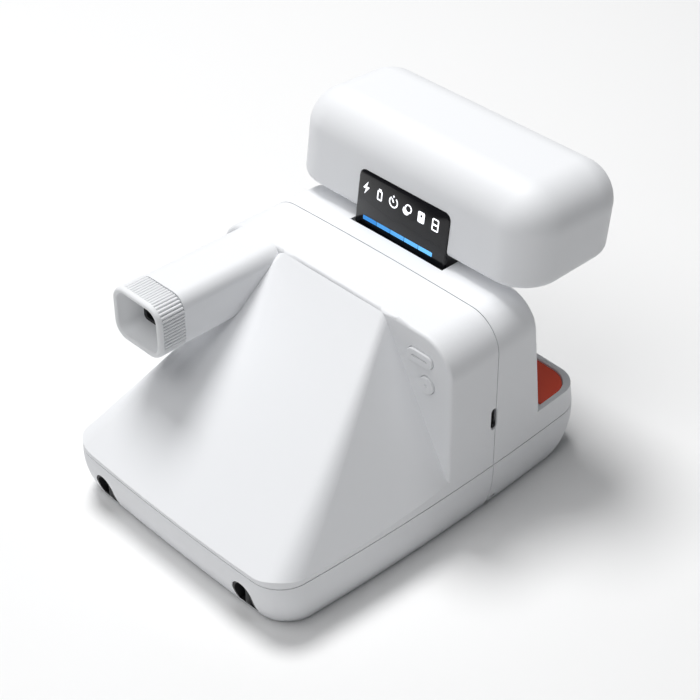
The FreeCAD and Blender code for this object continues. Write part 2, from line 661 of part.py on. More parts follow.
def turret_blank():
    """Disc of four supplementary lenses that turns behind the front lens."""
    y0 = TURRET_Y
    blank = gear(TURRET_TEETH, 0, TURRET_THICK, 0, 0, 0)
    blank.rotate(Vector(0, 0, 0), Vector(0, 0, 1), 90)
    blank.translate(Vector(TURRET_X, y0, LENS_Z))
    for i in range(4):
        angle = math.radians(90 * i + 180)
        x = TURRET_X + TURRET_X * math.cos(angle)
        z = LENS_Z + TURRET_X * math.sin(angle)
        blank = blank.cut(cyl(TURRET_LENS, 10, (x, y0 - 1, z), (0, 1, 0)))
    return blank.cut(cyl(1.05, 10, (TURRET_X, y0 - 1, LENS_Z), (0, 1, 0)))


def turret_lenses():
    lenses = []
    for i in range(4):
        angle = math.radians(90 * i + 180)
        x = TURRET_X + TURRET_X * math.cos(angle)
        z = LENS_Z + TURRET_X * math.sin(angle)
        lenses.append(cyl(TURRET_LENS, 1.0 + 0.2 * i, (x, TURRET_Y + 0.4, z), (0, 1, 0)))
    return Part.makeCompound(lenses)


def turret_pinion():
    distance = GEAR_MODULE * (TURRET_TEETH + PINION_TEETH) / 2 + 0.1
    x = TURRET_X + distance
    pinion = gear(PINION_TEETH, 0, TURRET_THICK, 0, 0, 90 + 180 / PINION_TEETH)
    pinion.rotate(Vector(0, 0, 0), Vector(0, 0, 1), 90)
    pinion.translate(Vector(x, TURRET_Y, LENS_Z))
    shaft = cyl(0.75, 4.0, (x, TURRET_Y + TURRET_THICK, LENS_Z), (0, 1, 0))
    return pinion.fuse(shaft)


def turret_motor():
    x = TURRET_X + GEAR_MODULE * (TURRET_TEETH + PINION_TEETH) / 2 + 0.1
    y0 = TURRET_Y + TURRET_THICK + 0.6
    motor = cyl(4.0, 11, (x, y0, LENS_Z), (0, 1, 0))
    return motor.cut(cyl(0.8, 3.8, (x, y0, LENS_Z), (0, 1, 0)))


def shutter_housing():
    """Plate behind the turret that carries its spindle, the blade and the motor."""
    y0 = SHUTTER_PLATE_Y
    plate = box(-18, 39, y0, y0 + 1.6, 30, 65.5)
    plate = plate.fuse(cyl(1.0, 6.0, (TURRET_X, y0 - 6.0, LENS_Z), (0, 1, 0)))
    plate = plate.cut(cyl(5.0, 4, (0, y0 - 1, LENS_Z), (0, 1, 0)))
    x = TURRET_X + GEAR_MODULE * (TURRET_TEETH + PINION_TEETH) / 2 + 0.1
    plate = plate.cut(cyl(4.1, 4, (x, y0 - 1, LENS_Z), (0, 1, 0)))
    for px, pz in ((-15, 32.5), (-15, 62.5), (36, 32.5)):
        front = block_front_y(pz) + WALL + 0.2
        plate = plate.fuse(cyl(1.5, y0 - front, (px, front, pz), (0, 1, 0)))
    pin = cyl(1.0, 2.6, (BLADE_X, y0 + 1.6, BLADE_Z), (0, 1, 0))
    return plate.fuse(pin)


def shutter_blade():
    """Thin blade that swings aside from the aperture."""
    y0 = SHUTTER_PLATE_Y + 1.9
    reach = math.hypot(BLADE_X, BLADE_Z - LENS_Z)
    blade = cyl(6.2, 0.6, (0, y0, LENS_Z), (0, 1, 0))
    hub = cyl(2.6, 0.6, (BLADE_X, y0, BLADE_Z), (0, 1, 0))
    arm = box(-reach, 0, 0, 0.6, -2.0, 2.0)
    arm.rotate(Vector(0, 0, 0), Vector(0, 1, 0), -math.degrees(math.atan2(BLADE_Z - LENS_Z, BLADE_X)) + 180)
    arm.translate(Vector(0, y0, LENS_Z))
    blade = blade.fuse([hub, arm])
    return blade.cut(cyl(1.05, 3, (BLADE_X, y0 - 1, BLADE_Z), (0, 1, 0)))


# ---- light path and film ----
def cone_form(inset):
    body = facet_wedge(inset).common(box(-41 + inset - CONE_INSET, 41 - inset + CONE_INSET,
                                         CONE_FRONT_Y + inset - CONE_INSET, 56, CONE_FOOT_Z, 72))
    return body


def light_cone():
    outer = cone_form(CONE_INSET)
    inner = cone_form(CONE_INSET + 1.4)
    inner = inner.fuse(inner.translated(Vector(0, 0, -2)))
    shell = outer.cut(inner)
    shell = shell.cut(cyl(8.0, 20, (0, CONE_FRONT_Y - 5, LENS_Z), (0, 1, 0)))
    return shell


def mirror():
    """Flat mirror on the back of the light cone, widening downwards."""
    dy = REAR_Y - BLOCK_REAR_Y
    dz = SLOPE_END_Z - SLOPE_TOP_Z
    chord = math.hypot(dy, dz)
    down = Vector(0, dy / chord, dz / chord)
    out = Vector(0, -dz / chord, dy / chord)
    top = Vector(0, BLOCK_REAR_Y, SLOPE_TOP_Z) - out * (CONE_INSET - MIRROR_LIFT) + down * 6
    low = top + down * 66
    corners = [top + Vector(17, 0, 0), top - Vector(17, 0, 0), low - Vector(38, 0, 0), low + Vector(38, 0, 0)]
    face = Part.Face(Part.makePolygon(corners + corners[:1]))
    return face.extrude(out * 1.6)


def film_cartridge():
    z0, z1 = PACK_Z0, PACK_Z1
    case = box(-PACK_HALF, PACK_HALF, PACK_Y0, PACK_Y1, z0, z1)
    case = case.cut(box(-PACK_HALF + 1.2, PACK_HALF - 1.2, PACK_Y0 + 1.2, PACK_Y1 - 1.2, z0 + 1.2, z1 - 1.2))
    case = case.cut(box(-39.5, 39.5, -31, 48, z1 - 2, z1 + 1))
    return case.cut(box(-FILM_HALF - 0.2, FILM_HALF + 0.2, PACK_Y0 - 1, PACK_Y0 + 2, z1 - 2.6, z1 - 1.2))


def film_stack():
    sheets = []
    for i in range(8):
        z = PACK_Z1 - 1.35 - 0.75 * i
        sheets.append(box(-FILM_HALF + 0.3, FILM_HALF - 0.3, PACK_Y0 + 2.0, PACK_Y0 + 109.0, z - 0.6, z))
    return Part.makeCompound(sheets)


def pack_spring():
    """Pressed sheet spring under the films: a flat frame with two raised tongues."""
    z0 = PACK_Z0 + 1.2
    frame = box(-36, 36, -40, 44, z0, z0 + 0.5).cut(box(-28, 28, -32, 36, z0 - 1, z0 + 1))
    for y in (-20, 16):
        side = [(-24, y, z0), (24, y, z0), (24, y, z0 + 0.5), (0, y, z0 + 1.9), (-24, y, z0 + 0.5)]
        leaf = prism(side, (0, 8, 0))
        frame = frame.fuse(leaf).fuse(box(-29, 29, y, y + 8, z0, z0 + 0.5))
    return frame.removeSplitter()


# ---- rollers and film drive ----
def roller(z, turn):
    body = cyl(ROLLER_RADIUS, 2 * 44.2, (-44.2, ROLLER_Y, z), (1, 0, 0))
    body = body.fuse(cyl(1.2, 2 * 45.6, (-45.6, ROLLER_Y, z), (1, 0, 0)))
    toothed = gear(ROLLER_TEETH, 45.6, 47.4, ROLLER_Y, z, turn)
    return body.fuse(toothed)


def roller_frame(cavity):
    """Metal cradle that holds both rollers in the film door."""
    base = box(-45.4, 45.4, ROLLER_Y - 3.5, ROLLER_Y + 3.5, WALL, WALL + 0.8)
    for x0 in (-45.4, 44.6):
        base = base.fuse(box(x0, x0 + 0.8, ROLLER_Y - 3.5, ROLLER_Y + 3.5, WALL, UPPER_ROLLER_Z + 2.2))
    for z in (LOWER_ROLLER_Z, UPPER_ROLLER_Z):
        base = base.cut(cyl(1.25, 100, (-50, ROLLER_Y, z), (1, 0, 0)))
    return base.common(cavity.fuse(box(-60, 60, -80, -40, SEAM_Z, 30)))


def drive_pinion():
    toothed = gear(DRIVE_TEETH, 45.6, 47.4, ROLLER_Y, PINION_Z, 90)
    return toothed.fuse(cyl(0.75, 6.6, (39.0, ROLLER_Y, PINION_Z), (1, 0, 0)))


def drive_motor():
    body = cyl(MOTOR_RADIUS, 26, (16, ROLLER_Y, PINION_Z), (1, 0, 0))
    return body.cut(cyl(0.8, 4, (38.5, ROLLER_Y, PINION_Z), (1, 0, 0)))


def door_hinge_pins():
    pins = [cyl(DOOR_PIN, 5.6, (side * 49 - 2.8, DOOR_HINGE_Y, DOOR_HINGE_Z), (1, 0, 0)) for side in (1, -1)]
    return Part.makeCompound(pins)


# ---- lid ----
def lid_form(inset):
    lean = math.tan(math.radians(LID_LEAN))
    fall = math.tan(math.radians(LID_TOP_FALL))
    slant = 1 / math.cos(math.radians(LID_LEAN))
    z0 = LID_BOTTOM_Z + inset
    back = LID_BACK_Y - inset * slant - lean * inset
    front = LID_BACK_Y - LID_DEPTH + inset * slant - lean * inset
    front_top_y = LID_BACK_Y - LID_DEPTH - lean * LID_HEIGHT

    def top_at(y):
        return LID_BOTTOM_Z + LID_HEIGHT - inset - fall * (y - front_top_y)

    def meet(y):
        """Where a leaning face that starts at y crosses the top plane."""
        z = z0
        for _ in range(20):
            z = top_at(y - lean * (z - z0))
        return (y - lean * (z - z0), z)

    back_top = meet(back)
    front_top = meet(front)
    section = [(back, z0), back_top, front_top, (front, z0)]
    half = LID_HALF - inset
    body = prism([(-half, y, z) for y, z in section], (2 * half, 0, 0))
    upright = [e for e in body.Edges if e.BoundBox.ZLength > 15 and e.BoundBox.XLength < 0.1
               and e.BoundBox.YLength < 10]
    body = body.makeFillet(LID_CORNER - inset, upright)
    top = [e for e in body.Edges if e.BoundBox.ZMin > LID_BOTTOM_Z + LID_HEIGHT - inset - 6]
    body = body.makeFillet(LID_TOP_RADIUS - inset, top)
    bottom = [e for e in body.Edges if e.BoundBox.ZMax < z0 + 0.1]
    return body.makeFillet(max(2.5 - inset, 0.5), bottom)


def round_top(plate, radius):
    """Round the two upper corners of a plate that is drawn upright and faces along Y."""
    top = plate.BoundBox.ZMax
    corners = [e for e in plate.Edges if e.BoundBox.YLength > 0.5 and e.BoundBox.XLength < 0.1
               and e.BoundBox.ZMin > top - 0.1]
    return plate.makeFillet(radius, corners)


def lid_shell():
    shell = lid_form(0).cut(lid_form(LID_WALL))
    shell = shell.cut(on_lid_front(rounded_slab(-43, 43, LID_BOTTOM_Z + 3.2, LID_BOTTOM_Z + 19.2, 5, -3, 6)))
    notch = box(-DISPLAY_HALF - 0.2, DISPLAY_HALF + 0.2, -1.6, 6, -3, DISPLAY_TOP + 0.2)
    shell = shell.cut(on_hinge(round_top(notch, DISPLAY_CORNER)))
    neck = box(-DISPLAY_HALF - 0.2, DISPLAY_HALF + 0.2, -NECK_FRONT - 0.2, 6, -3, 11.5)
    return shell.cut(on_hinge(neck))


def lid_face_panel():
    z0 = LID_BOTTOM_Z
    plate = rounded_slab(-42.9, 42.9, z0 + 3.3, z0 + 19.1, 4.9, 0.5, 2.5)
    plate = plate.cut(rounded_slab(-40, 6, z0 + 5.2, z0 + 17.2, 2, -1, 5))
    plate = plate.cut(cyl(6.2, 8, (SONAR_X, -1, z0 + 11.2), (0, 1, 0)))
    plate = plate.cut(cyl(1.6, 8, (37.5, -1, z0 + 11.2), (0, 1, 0)))
    return on_lid_front(plate)


def flash_window():
    z0 = LID_BOTTOM_Z
    return on_lid_front(rounded_slab(-39.9, 5.9, z0 + 5.3, z0 + 17.1, 1.9, 0.7, 2.2))


def flash_reflector():
    """Bright trough behind the flash window."""
    z = LID_BOTTOM_Z + 11.2
    outer = cyl(5.6, 43, (-38.5, 2.6, z), (1, 0, 0)).common(box(-50, 10, 2.6, 12, z - 8, z + 8))
    inner = cyl(5.0, 42, (-38, 2.6, z), (1, 0, 0))
    trough = outer.cut(inner)
    for x in (-37.5, 3.5):
        trough = trough.cut(cyl(1.8, 4, (x - 2, 5.0, z), (1, 0, 0)))
    return on_lid_front(trough)


def flash_tube():
    return on_lid_front(cyl(1.5, 42, (-38, 5.0, LID_BOTTOM_Z + 11.2), (1, 0, 0)))


def sonar_disc():
    """Round distance transducer with a ringed grille."""
    z = LID_BOTTOM_Z + 11.2
    disc = cyl(6.1, 4.0, (SONAR_X, 0.9, z), (0, 1, 0))
    for radius in (1.6, 3.0, 4.4):
        ring = cyl(radius + 0.35, 0.5, (SONAR_X, 0.8, z), (0, 1, 0)).cut(
            cyl(radius - 0.35, 0.7, (SONAR_X, 0.7, z), (0, 1, 0)))
        disc = disc.cut(ring)
    return on_lid_front(disc)


def status_lamp():
    return on_lid_front(cyl(1.5, 2.4, (37.5, 0.6, LID_BOTTOM_Z + 11.2), (0, 1, 0)))


def flash_board():
    z = LID_BOTTOM_Z
    return on_lid_front(box(-40, 42, 9.2, 10.6, z + 2.6, z + 21))


def arm_section(rear, front, low, high):
    """Leaning slab about the hinge: rear and front are distances from the hinge plane."""
    return box(-ARM_HALF, ARM_HALF, -front, rear, low, high)


def hinge_arm():
    """Black arm: barrel on the hinge pin, neck through the well, back of the display."""
    barrel = cyl(ARM_BARREL, 2 * ARM_HALF, (-ARM_HALF, 0, 0), (1, 0, 0))
    neck = arm_section(DISPLAY_FACE - DISPLAY_THICK, NECK_FRONT, 0, 9.0)
    holder = round_top(arm_section(DISPLAY_FACE - DISPLAY_THICK, 0.6, 8.5, DISPLAY_TOP - 0.2), DISPLAY_CORNER)
    arm = barrel.fuse([neck, holder])
    window = box(-ARM_HALF - 1, ARM_HALF + 1, DISPLAY_FACE - DISPLAY_THICK, 8, -1.0, 40)
    window = window.cut(box(-60, 60, -9, 9, -9, 0.0))
    arm = arm.cut(window)
    recess = box(-18.5, 18.5, DISPLAY_FACE - DISPLAY_THICK - 1.6, 8, 9.2, DISPLAY_TOP - SCREEN_MARGIN)
    arm = arm.cut(recess)
    arm = arm.cut(cyl(PIN_RADIUS + 0.05, 60, (-30, 0, 0), (1, 0, 0)))
    return on_hinge(arm.removeSplitter())


def display_window():
    plate = box(-DISPLAY_HALF, DISPLAY_HALF, DISPLAY_FACE - DISPLAY_THICK, DISPLAY_FACE, 1.2, DISPLAY_TOP)
    return on_hinge(round_top(plate, DISPLAY_CORNER))


def display_module():
    return on_hinge(box(-18.3, 18.3, DISPLAY_FACE - DISPLAY_THICK - 1.5, DISPLAY_FACE - DISPLAY_THICK,
                        9.4, DISPLAY_TOP - SCREEN_MARGIN - 0.2))


def hinge_cradle():
    """Black trough in the body's top that carries the hinge pin."""
    half = WELL_HALF + 1.8
    outer = box(-half, half, WELL_REAR_Y - 9.0, WELL_REAR_Y + 1.6, WELL_FLOOR_Z - 1.6, TOP_Z - WALL - 0.6)
    inner = box(-WELL_HALF, WELL_HALF, WELL_REAR_Y - 12, WELL_REAR_Y, WELL_FLOOR_Z, 80)
    lip = box(-WELL_HALF, WELL_HALF, block_front_y(WELL_FLOOR_Z) + 0.3, WELL_REAR_Y - 8, WELL_FLOOR_Z - 1.2,
              WELL_FLOOR_Z)
    trough = outer.cut(inner).fuse(lip)
    return trough.cut(cyl(PIN_RADIUS, 60, (-30, HINGE_Y, HINGE_Z), (1, 0, 0)))


def lid_hinge_pin():
    return cyl(PIN_RADIUS, 2 * (WELL_HALF + 3.4), (-WELL_HALF - 3.4, HINGE_Y, HINGE_Z), (1, 0, 0))


# ---- buttons, socket and lugs ----
def shutter_button():
    """Corner button of the ledge, with a flange that keeps it under the ledge."""
    cap = shutter_outline(0, LEDGE_UNDER_Z - 0.6, LEDGE_Z - 0.3)
    top = [e for e in cap.Edges if e.BoundBox.ZMin > LEDGE_Z - 0.4]
    cap = cap.makeFillet(0.5, top)
    room = upper_plan(WALL + 0.6)[0]
    flange = shutter_outline(0.9, LEDGE_UNDER_Z - 1.2, LEDGE_UNDER_Z - 0.1).common(room)
    cap = cap.common(room.fuse(box(-60, 0, -80, 0, LEDGE_UNDER_Z - 0.05, 40)))
    return cap.fuse(flange).removeSplitter()


def shutter_switch():
    z1 = LEDGE_UNDER_Z - 1.2 - SHUTTER_TRAVEL - 0.15
    return cyl(1.6, 0.8, (SWITCH_X, SWITCH_Y, z1 - 0.8), (0, 0, 1)).fuse(
        box(SWITCH_X - 3, SWITCH_X + 3, SWITCH_Y - 3, SWITCH_Y + 3, z1 - 1.8, z1 - 0.8))


def rear_buttons():
    pill, disc = button_holes(0)
    y1 = BLOCK_REAR_Y + 0.35
    back = BLOCK_REAR_Y - WALL - 1.0
    pill = pill.common(box(-80, 0, back, y1, 0, 100))
    disc = disc.common(box(-80, 0, back, y1, 0, 100))
    half = POWER_HEIGHT / 2
    pill_back = box(POWER_X - 6.6, POWER_X + 6.6, back - 0.1, BLOCK_REAR_Y - WALL - 0.08,
                    POWER_Z - half - 0.9, POWER_Z + half + 0.9)
    disc_back = cyl(TIMER_RADIUS + 1.0, 1.02, (TIMER_X, back - 0.1, TIMER_Z), (0, 1, 0))
    groove = box(POWER_X - 3.2, POWER_X + 3.2, y1 - 0.3, y1 + 1, POWER_Z - 0.35, POWER_Z + 0.35)
    dimple = Part.makeSphere(0.8, Vector(TIMER_X, y1 + 0.35, TIMER_Z))
    pill = pill.fuse(pill_back).cut(groove).removeSplitter()
    disc = disc.fuse(disc_back).cut(dimple).removeSplitter()
    return pill, disc


def usb_socket():
    shell = usb_slot(7.0, 0.0)
    shell.translate(Vector(60 - HALF_WIDTH + 0.7, 0, 0))
    core = usb_slot(6.4, -0.35)
    core.translate(Vector(60 - HALF_WIDTH + 0.6, 0, 0))
    tongue = box(-52.9, -47.8, USB_Y - 0.35, USB_Y + 0.35, USB_Z - 3.1, USB_Z + 3.1)
    return shell.cut(core).fuse(tongue)


def strap_lugs(hull):
    lugs = []
    for side in (1, -1):
        x = side * STRAP_X
        cup = strap_pocket(side, 0).common(box(-60, 60, 60, REAR_Y - 1.4, -1, 30))
        inner = strap_pocket(side, 0.9).common(box(-60, 60, 60, 90, -1, 30))
        cup = cup.cut(inner)
        post = cyl(1.3, 9.4, (x, REAR_Y - 4.4, 3.0), (0, 0, 1))
        lug = cup.fuse(post.common(strap_pocket(side, 0))).common(hull)
        lugs.append(lug.removeSplitter())
    return Part.makeCompound(lugs)


def door_latch():
    """Thumb slide on the +X side of the upper body, with a nose inside."""
    face = LATCH_FACE_X
    plate = box(face - 1.3, face, LATCH_Y - 4, LATCH_Y + 4, LATCH_Z - 2.5, LATCH_Z + 2.5)
    for i in range(4):
        y = LATCH_Y - 2.4 + 1.6 * i
        plate = plate.cut(box(face - 0.4, face + 1, y - 0.25, y + 0.25, LATCH_Z - 2, LATCH_Z + 2))
    neck = box(face - 4.2, face - 1.0, LATCH_Y - 1.5, LATCH_Y + 1.5, LATCH_Z - 1, LATCH_Z + 1)
    slide = box(face - 4.2, face - 2.9, LATCH_Y - 4, LATCH_Y + 4, LATCH_Z - 2.5, LATCH_Z + 2.5)
    return plate.fuse([neck, slide]).removeSplitter()


# ---- electronics and fasteners ----
def main_board():
    return box(-49.6, -48.0, -19.5, -3.5, 27.0, 62.0).cut(box(-50, -47, -24, -17, 34.2, 44.0))


def board_parts():
    chips = [box(-48.0, -46.8, -14, -6, 28, 34), box(-48.0, -46.4, -12, -6, 40, 46),
             box(-48.0, -47.0, -15, -8, 50, 55)]
    return Part.makeCompound(chips)


def battery():
    cell = box(44.4, 49.8, -37.0, -3.0, 28.0, 60.0)
    edges = [e for e in cell.Edges if e.BoundBox.ZLength > 20]
    return cell.makeFillet(2.2, edges)


def flash_capacitor():
    can = cyl(5.8, 30, (-43.5, -32.5, 29.5), (0, 0, 1))
    return can.cut(cyl(4.6, 0.5, (-43.5, -32.5, 59.0), (0, 0, 1)))


def body_screws():
    screws = []
    for x, y in screw_places():
        screw = cyl(1.9, 1.5, (x, y, 0.3), (0, 0, 1)).fuse(cyl(0.9, 20.5, (x, y, 1.8), (0, 0, 1)))
        screw = screw.cut(box(x - 1.1, x + 1.1, y - 0.25, y + 0.25, 0.2, 0.9))
        screws.append(screw.cut(box(x - 0.25, x + 0.25, y - 1.1, y + 1.1, 0.2, 0.9)))
    return Part.makeCompound(screws)


os.makedirs("parts", exist_ok=True)
if __name__ == "__main__":
    outer = upper_form(0)
    hollow = upper_form(WALL)
    hull = lower_form(0)
    cavity = lower_form(WALL)
    save(film_door_shell(hull, cavity), "film_door")
    save(rear_lower_shell(hull, cavity), "rear_lower_shell")
    save(rear_upper_shell(outer, hollow), "rear_upper_shell")
    save(front_upper_shell(outer, hollow), "front_upper_shell")
    power, timer = rear_buttons()
    save(power, "power_button")
    save(timer, "timer_button")
    save(roller(LOWER_ROLLER_Z, 90), "lower_roller")
    save(roller(UPPER_ROLLER_Z, 90 + 180 / ROLLER_TEETH), "upper_roller")
    for build in (eyecup, eyepiece_lens, finder_window, finder_objective, lens_panel, lens_ring, front_lens,
                  light_sensor, turret_lenses, turret_pinion, turret_motor, shutter_housing, shutter_blade,
                  light_cone, mirror, film_cartridge, film_stack, pack_spring, drive_pinion,
                  drive_motor, door_hinge_pins, lid_shell, lid_face_panel, flash_window, flash_reflector,
                  flash_tube, sonar_disc, status_lamp, flash_board, hinge_arm, display_window, display_module,
                  hinge_cradle, lid_hinge_pin, shutter_button, shutter_switch, usb_socket, door_latch,
                  main_board, board_parts, battery, flash_capacitor, body_screws):
        save(build(), build.__name__)
    save(turret_blank(), "lens_turret")
    save(roller_frame(cavity), "roller_frame")
    save(strap_lugs(hull), "strap_lugs")
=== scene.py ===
# %% [markdown]
# # An instant camera, finished around its CAD frame
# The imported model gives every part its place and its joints. This lesson adds what a maker would see
# and touch: moulded white plastic, a ribbed eyecup, a glass display with its signs, and soft studio light.
# All lengths are metres. +Z is up, -Y is where the lens looks, +X is the viewfinder's side.

# %% Load the frame
import json
import math
import bmesh
import bpy
from mathutils import Matrix, Vector


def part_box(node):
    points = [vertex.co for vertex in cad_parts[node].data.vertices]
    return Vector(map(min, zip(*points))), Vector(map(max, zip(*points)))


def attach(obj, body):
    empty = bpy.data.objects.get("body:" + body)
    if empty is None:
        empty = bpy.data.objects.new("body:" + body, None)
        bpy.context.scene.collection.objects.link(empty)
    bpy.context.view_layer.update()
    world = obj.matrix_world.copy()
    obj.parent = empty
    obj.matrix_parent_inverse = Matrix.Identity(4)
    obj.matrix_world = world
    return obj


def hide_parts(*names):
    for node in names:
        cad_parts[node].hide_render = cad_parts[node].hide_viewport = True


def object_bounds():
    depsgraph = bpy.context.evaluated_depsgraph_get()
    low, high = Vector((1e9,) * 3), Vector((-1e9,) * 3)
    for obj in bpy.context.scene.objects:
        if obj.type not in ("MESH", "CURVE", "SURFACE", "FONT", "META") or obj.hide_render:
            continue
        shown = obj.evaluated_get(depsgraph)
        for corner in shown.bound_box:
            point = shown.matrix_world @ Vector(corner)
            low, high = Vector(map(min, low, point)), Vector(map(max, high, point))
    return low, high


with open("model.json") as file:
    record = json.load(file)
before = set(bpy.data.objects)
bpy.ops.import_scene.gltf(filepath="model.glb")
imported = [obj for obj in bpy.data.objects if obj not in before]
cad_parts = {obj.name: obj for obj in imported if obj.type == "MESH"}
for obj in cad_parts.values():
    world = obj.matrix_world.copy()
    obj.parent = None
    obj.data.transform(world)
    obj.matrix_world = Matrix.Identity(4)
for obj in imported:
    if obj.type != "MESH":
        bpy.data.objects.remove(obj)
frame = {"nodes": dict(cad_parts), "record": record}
cad_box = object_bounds()
nodes = frame["nodes"]
MM = 0.001

# %% [markdown]
# ## The camera
# A product shot is taken from far away with a long lens, so that verticals stay nearly parallel. Placing the
# camera by a point and two angles, as a tripod head does, keeps the horizon level with no tracking constraint.

# %% Place the camera
CAMERA_AT = Vector((-355.7, 331.8, 413.1)) * MM
CAMERA_AZIMUTH = math.radians(226.31)
CAMERA_ELEVATION = math.radians(36.87)
CAMERA_LENS = 93.7


def direction(azimuth, elevation):
    """Unit vector from the object towards a viewer at that azimuth and height."""
    level = math.cos(elevation)
    return Vector((math.sin(azimuth) * level, -math.cos(azimuth) * level, math.sin(elevation)))


shot = bpy.data.cameras.new("shot")
shot.lens = CAMERA_LENS
shot.sensor_width = 36
shot.clip_start = 0.01
shot_object = bpy.data.objects.new("shot", shot)
bpy.context.scene.collection.objects.link(shot_object)
shot_object.location = CAMERA_AT
away = direction(CAMERA_AZIMUTH, CAMERA_ELEVATION)
shot_object.rotation_euler = (-away).to_track_quat("-Z", "Y").to_euler()
bpy.context.scene.camera = shot_object
print("camera at", [round(v, 3) for v in shot_object.location])

# %% [markdown]
# ## The studio
# White plastic on a white floor shows its form only by soft shading. One panel high up beyond the object and
# to its left gives the bright edges and the soft shadow, a wider and weaker one high on the viewer's left
# opens the faces that look this way, and a dim white sky fills the rest. The standard view keeps white as
# white, where a filmic one would turn it grey.

# %% Build the studio
FLOOR_HALF = 6.0
scene = bpy.context.scene
scene.view_settings.view_transform = "Standard"


def simple_plane(name, half):
    mesh = bpy.data.meshes.new(name)
    corners = [(-half, -half, 0), (half, -half, 0), (half, half, 0), (-half, half, 0)]
    mesh.from_pydata(corners, [], [(0, 1, 2, 3)])
    plane = bpy.data.objects.new(name, mesh)
    bpy.context.scene.collection.objects.link(plane)
    return plane


def panel_light(name, azimuth, elevation, distance, size, power):
    """Round area light that looks at the middle of the object. Angles are in degrees, power in watts."""
    lamp = bpy.data.lights.new(name, "AREA")
    lamp.shape = "DISK"
    lamp.size = size
    lamp.energy = power
    target = Vector((0, 0, 0.04))
    away = direction(math.radians(azimuth), math.radians(elevation))
    holder = bpy.data.objects.new(name, lamp)
    bpy.context.scene.collection.objects.link(holder)
    holder.location = target + away * distance
    holder.rotation_euler = (-away).to_track_quat("-Z", "Y").to_euler()
    return holder


floor = simple_plane("floor", FLOOR_HALF)
floor.location.z = cad_box[0].z
floor_paint = bpy.data.materials.new("floor_paint")
floor_paint.use_nodes = True
floor_shader = floor_paint.node_tree.nodes["Principled BSDF"]
floor_shader.inputs["Base Color"].default_value = (0.90, 0.90, 0.90, 1)
floor_shader.inputs["Roughness"].default_value = 0.9
floor.data.materials.append(floor_paint)

sky = bpy.data.worlds.new("sky")
sky.use_nodes = True
sky.node_tree.nodes["Background"].inputs["Color"].default_value = (0.94, 0.97, 1.0, 1)
sky.node_tree.nodes["Background"].inputs["Strength"].default_value = 0.09
scene.world = sky
panel_light("key_panel", azimuth=74, elevation=70, distance=1.5, size=0.6, power=17.8)
panel_light("fill_panel", azimuth=178, elevation=64, distance=1.6, size=1.2, power=9.5)
print("studio: floor at", round(floor.location.z, 4))

# %% [markdown]
# ## Moulded plastic
# Injection-moulded shells carry a fine spark-eroded texture: a grain of about 0.1 mm that softens highlights.
# An image texture would tile and needs UVs. Noise on Object coordinates has no seams and a true scale,
# so each plastic is one function with a colour, a gloss and a grain.

# %% Write the plastic recipe
def plastic(name, colour, roughness, grain=0.12, depth=0.25, mottle=0.03, coat=0.0):
    """Moulded plastic. grain is the texture's size in mm, depth its bump, mottle its unevenness in gloss."""
    paint = bpy.data.materials.new(name)
    paint.use_nodes = True
    tree = paint.node_tree
    shader = tree.nodes["Principled BSDF"]
    shader.inputs["IOR"].default_value = 1.46
    shader.inputs["Coat Weight"].default_value = coat
    shader.inputs["Coat Roughness"].default_value = 0.03
    place = tree.nodes.new("ShaderNodeTexCoord")
    fine = tree.nodes.new("ShaderNodeTexNoise")
    fine.inputs["Scale"].default_value = 1 / (grain * MM)
    fine.inputs["Detail"].default_value = 2
    wide = tree.nodes.new("ShaderNodeTexNoise")
    wide.inputs["Scale"].default_value = 60
    wide.inputs["Detail"].default_value = 3
    bump = tree.nodes.new("ShaderNodeBump")
    bump.inputs["Strength"].default_value = depth
    bump.inputs["Distance"].default_value = 0.02 * MM
    gloss = tree.nodes.new("ShaderNodeMapRange")
    gloss.inputs["To Min"].default_value = roughness - mottle
    gloss.inputs["To Max"].default_value = roughness + mottle
    tint = tree.nodes.new("ShaderNodeMix")
    tint.data_type = "RGBA"
    tint.inputs["A"].default_value = (*colour, 1)
    tint.inputs["B"].default_value = (*[c * 0.985 for c in colour], 1)
    for texture in (fine, wide):
        tree.links.new(place.outputs["Object"], texture.inputs["Vector"])
    tree.links.new(fine.outputs["Fac"], bump.inputs["Height"])
    tree.links.new(bump.outputs["Normal"], shader.inputs["Normal"])
    tree.links.new(wide.outputs["Fac"], gloss.inputs["Value"])
    tree.links.new(gloss.outputs["Result"], shader.inputs["Roughness"])
    tree.links.new(wide.outputs["Fac"], tint.inputs["Factor"])
    tree.links.new(tint.outputs["Result"], shader.inputs["Base Color"])
    return paint


paints = {
    "white_shell": plastic("white_shell", (0.86, 0.87, 0.89), 0.52),
    "white_cup": plastic("white_cup", (0.84, 0.85, 0.865), 0.6),
    "black_plastic": plastic("black_plastic", (0.016, 0.016, 0.018), 0.5),
    "gloss_black": plastic("gloss_black", (0.008, 0.008, 0.010), 0.08, depth=0.0, mottle=0.01, coat=0.6),
    "red_button": plastic("red_button", (0.95, 0.115, 0.06), 0.45),
    "board_green": plastic("board_green", (0.01, 0.10, 0.05), 0.35),
    "chip_black": plastic("chip_black", (0.02, 0.02, 0.02), 0.5),
    "film_sheet": plastic("film_sheet", (0.8, 0.8, 0.77), 0.3),
    "gear_white": plastic("gear_white", (0.74, 0.72, 0.66), 0.4),
    "can_black": plastic("can_black", (0.02, 0.02, 0.035), 0.3),
    "cell_foil": plastic("cell_foil", (0.35, 0.42, 0.5), 0.35),
}
print("plastics:", ", ".join(sorted(paints)))

# %% [markdown]
# ## Metals, glass and special finishes
# The rest of the camera is small hardware: turned steel, a gold-coated transducer, coated lenses. Metal is told
# by its reflections, so its colour goes in the base and fine noise stretched along one axis gives the brushing.
# Glass gets a real index and stays thin in colour.

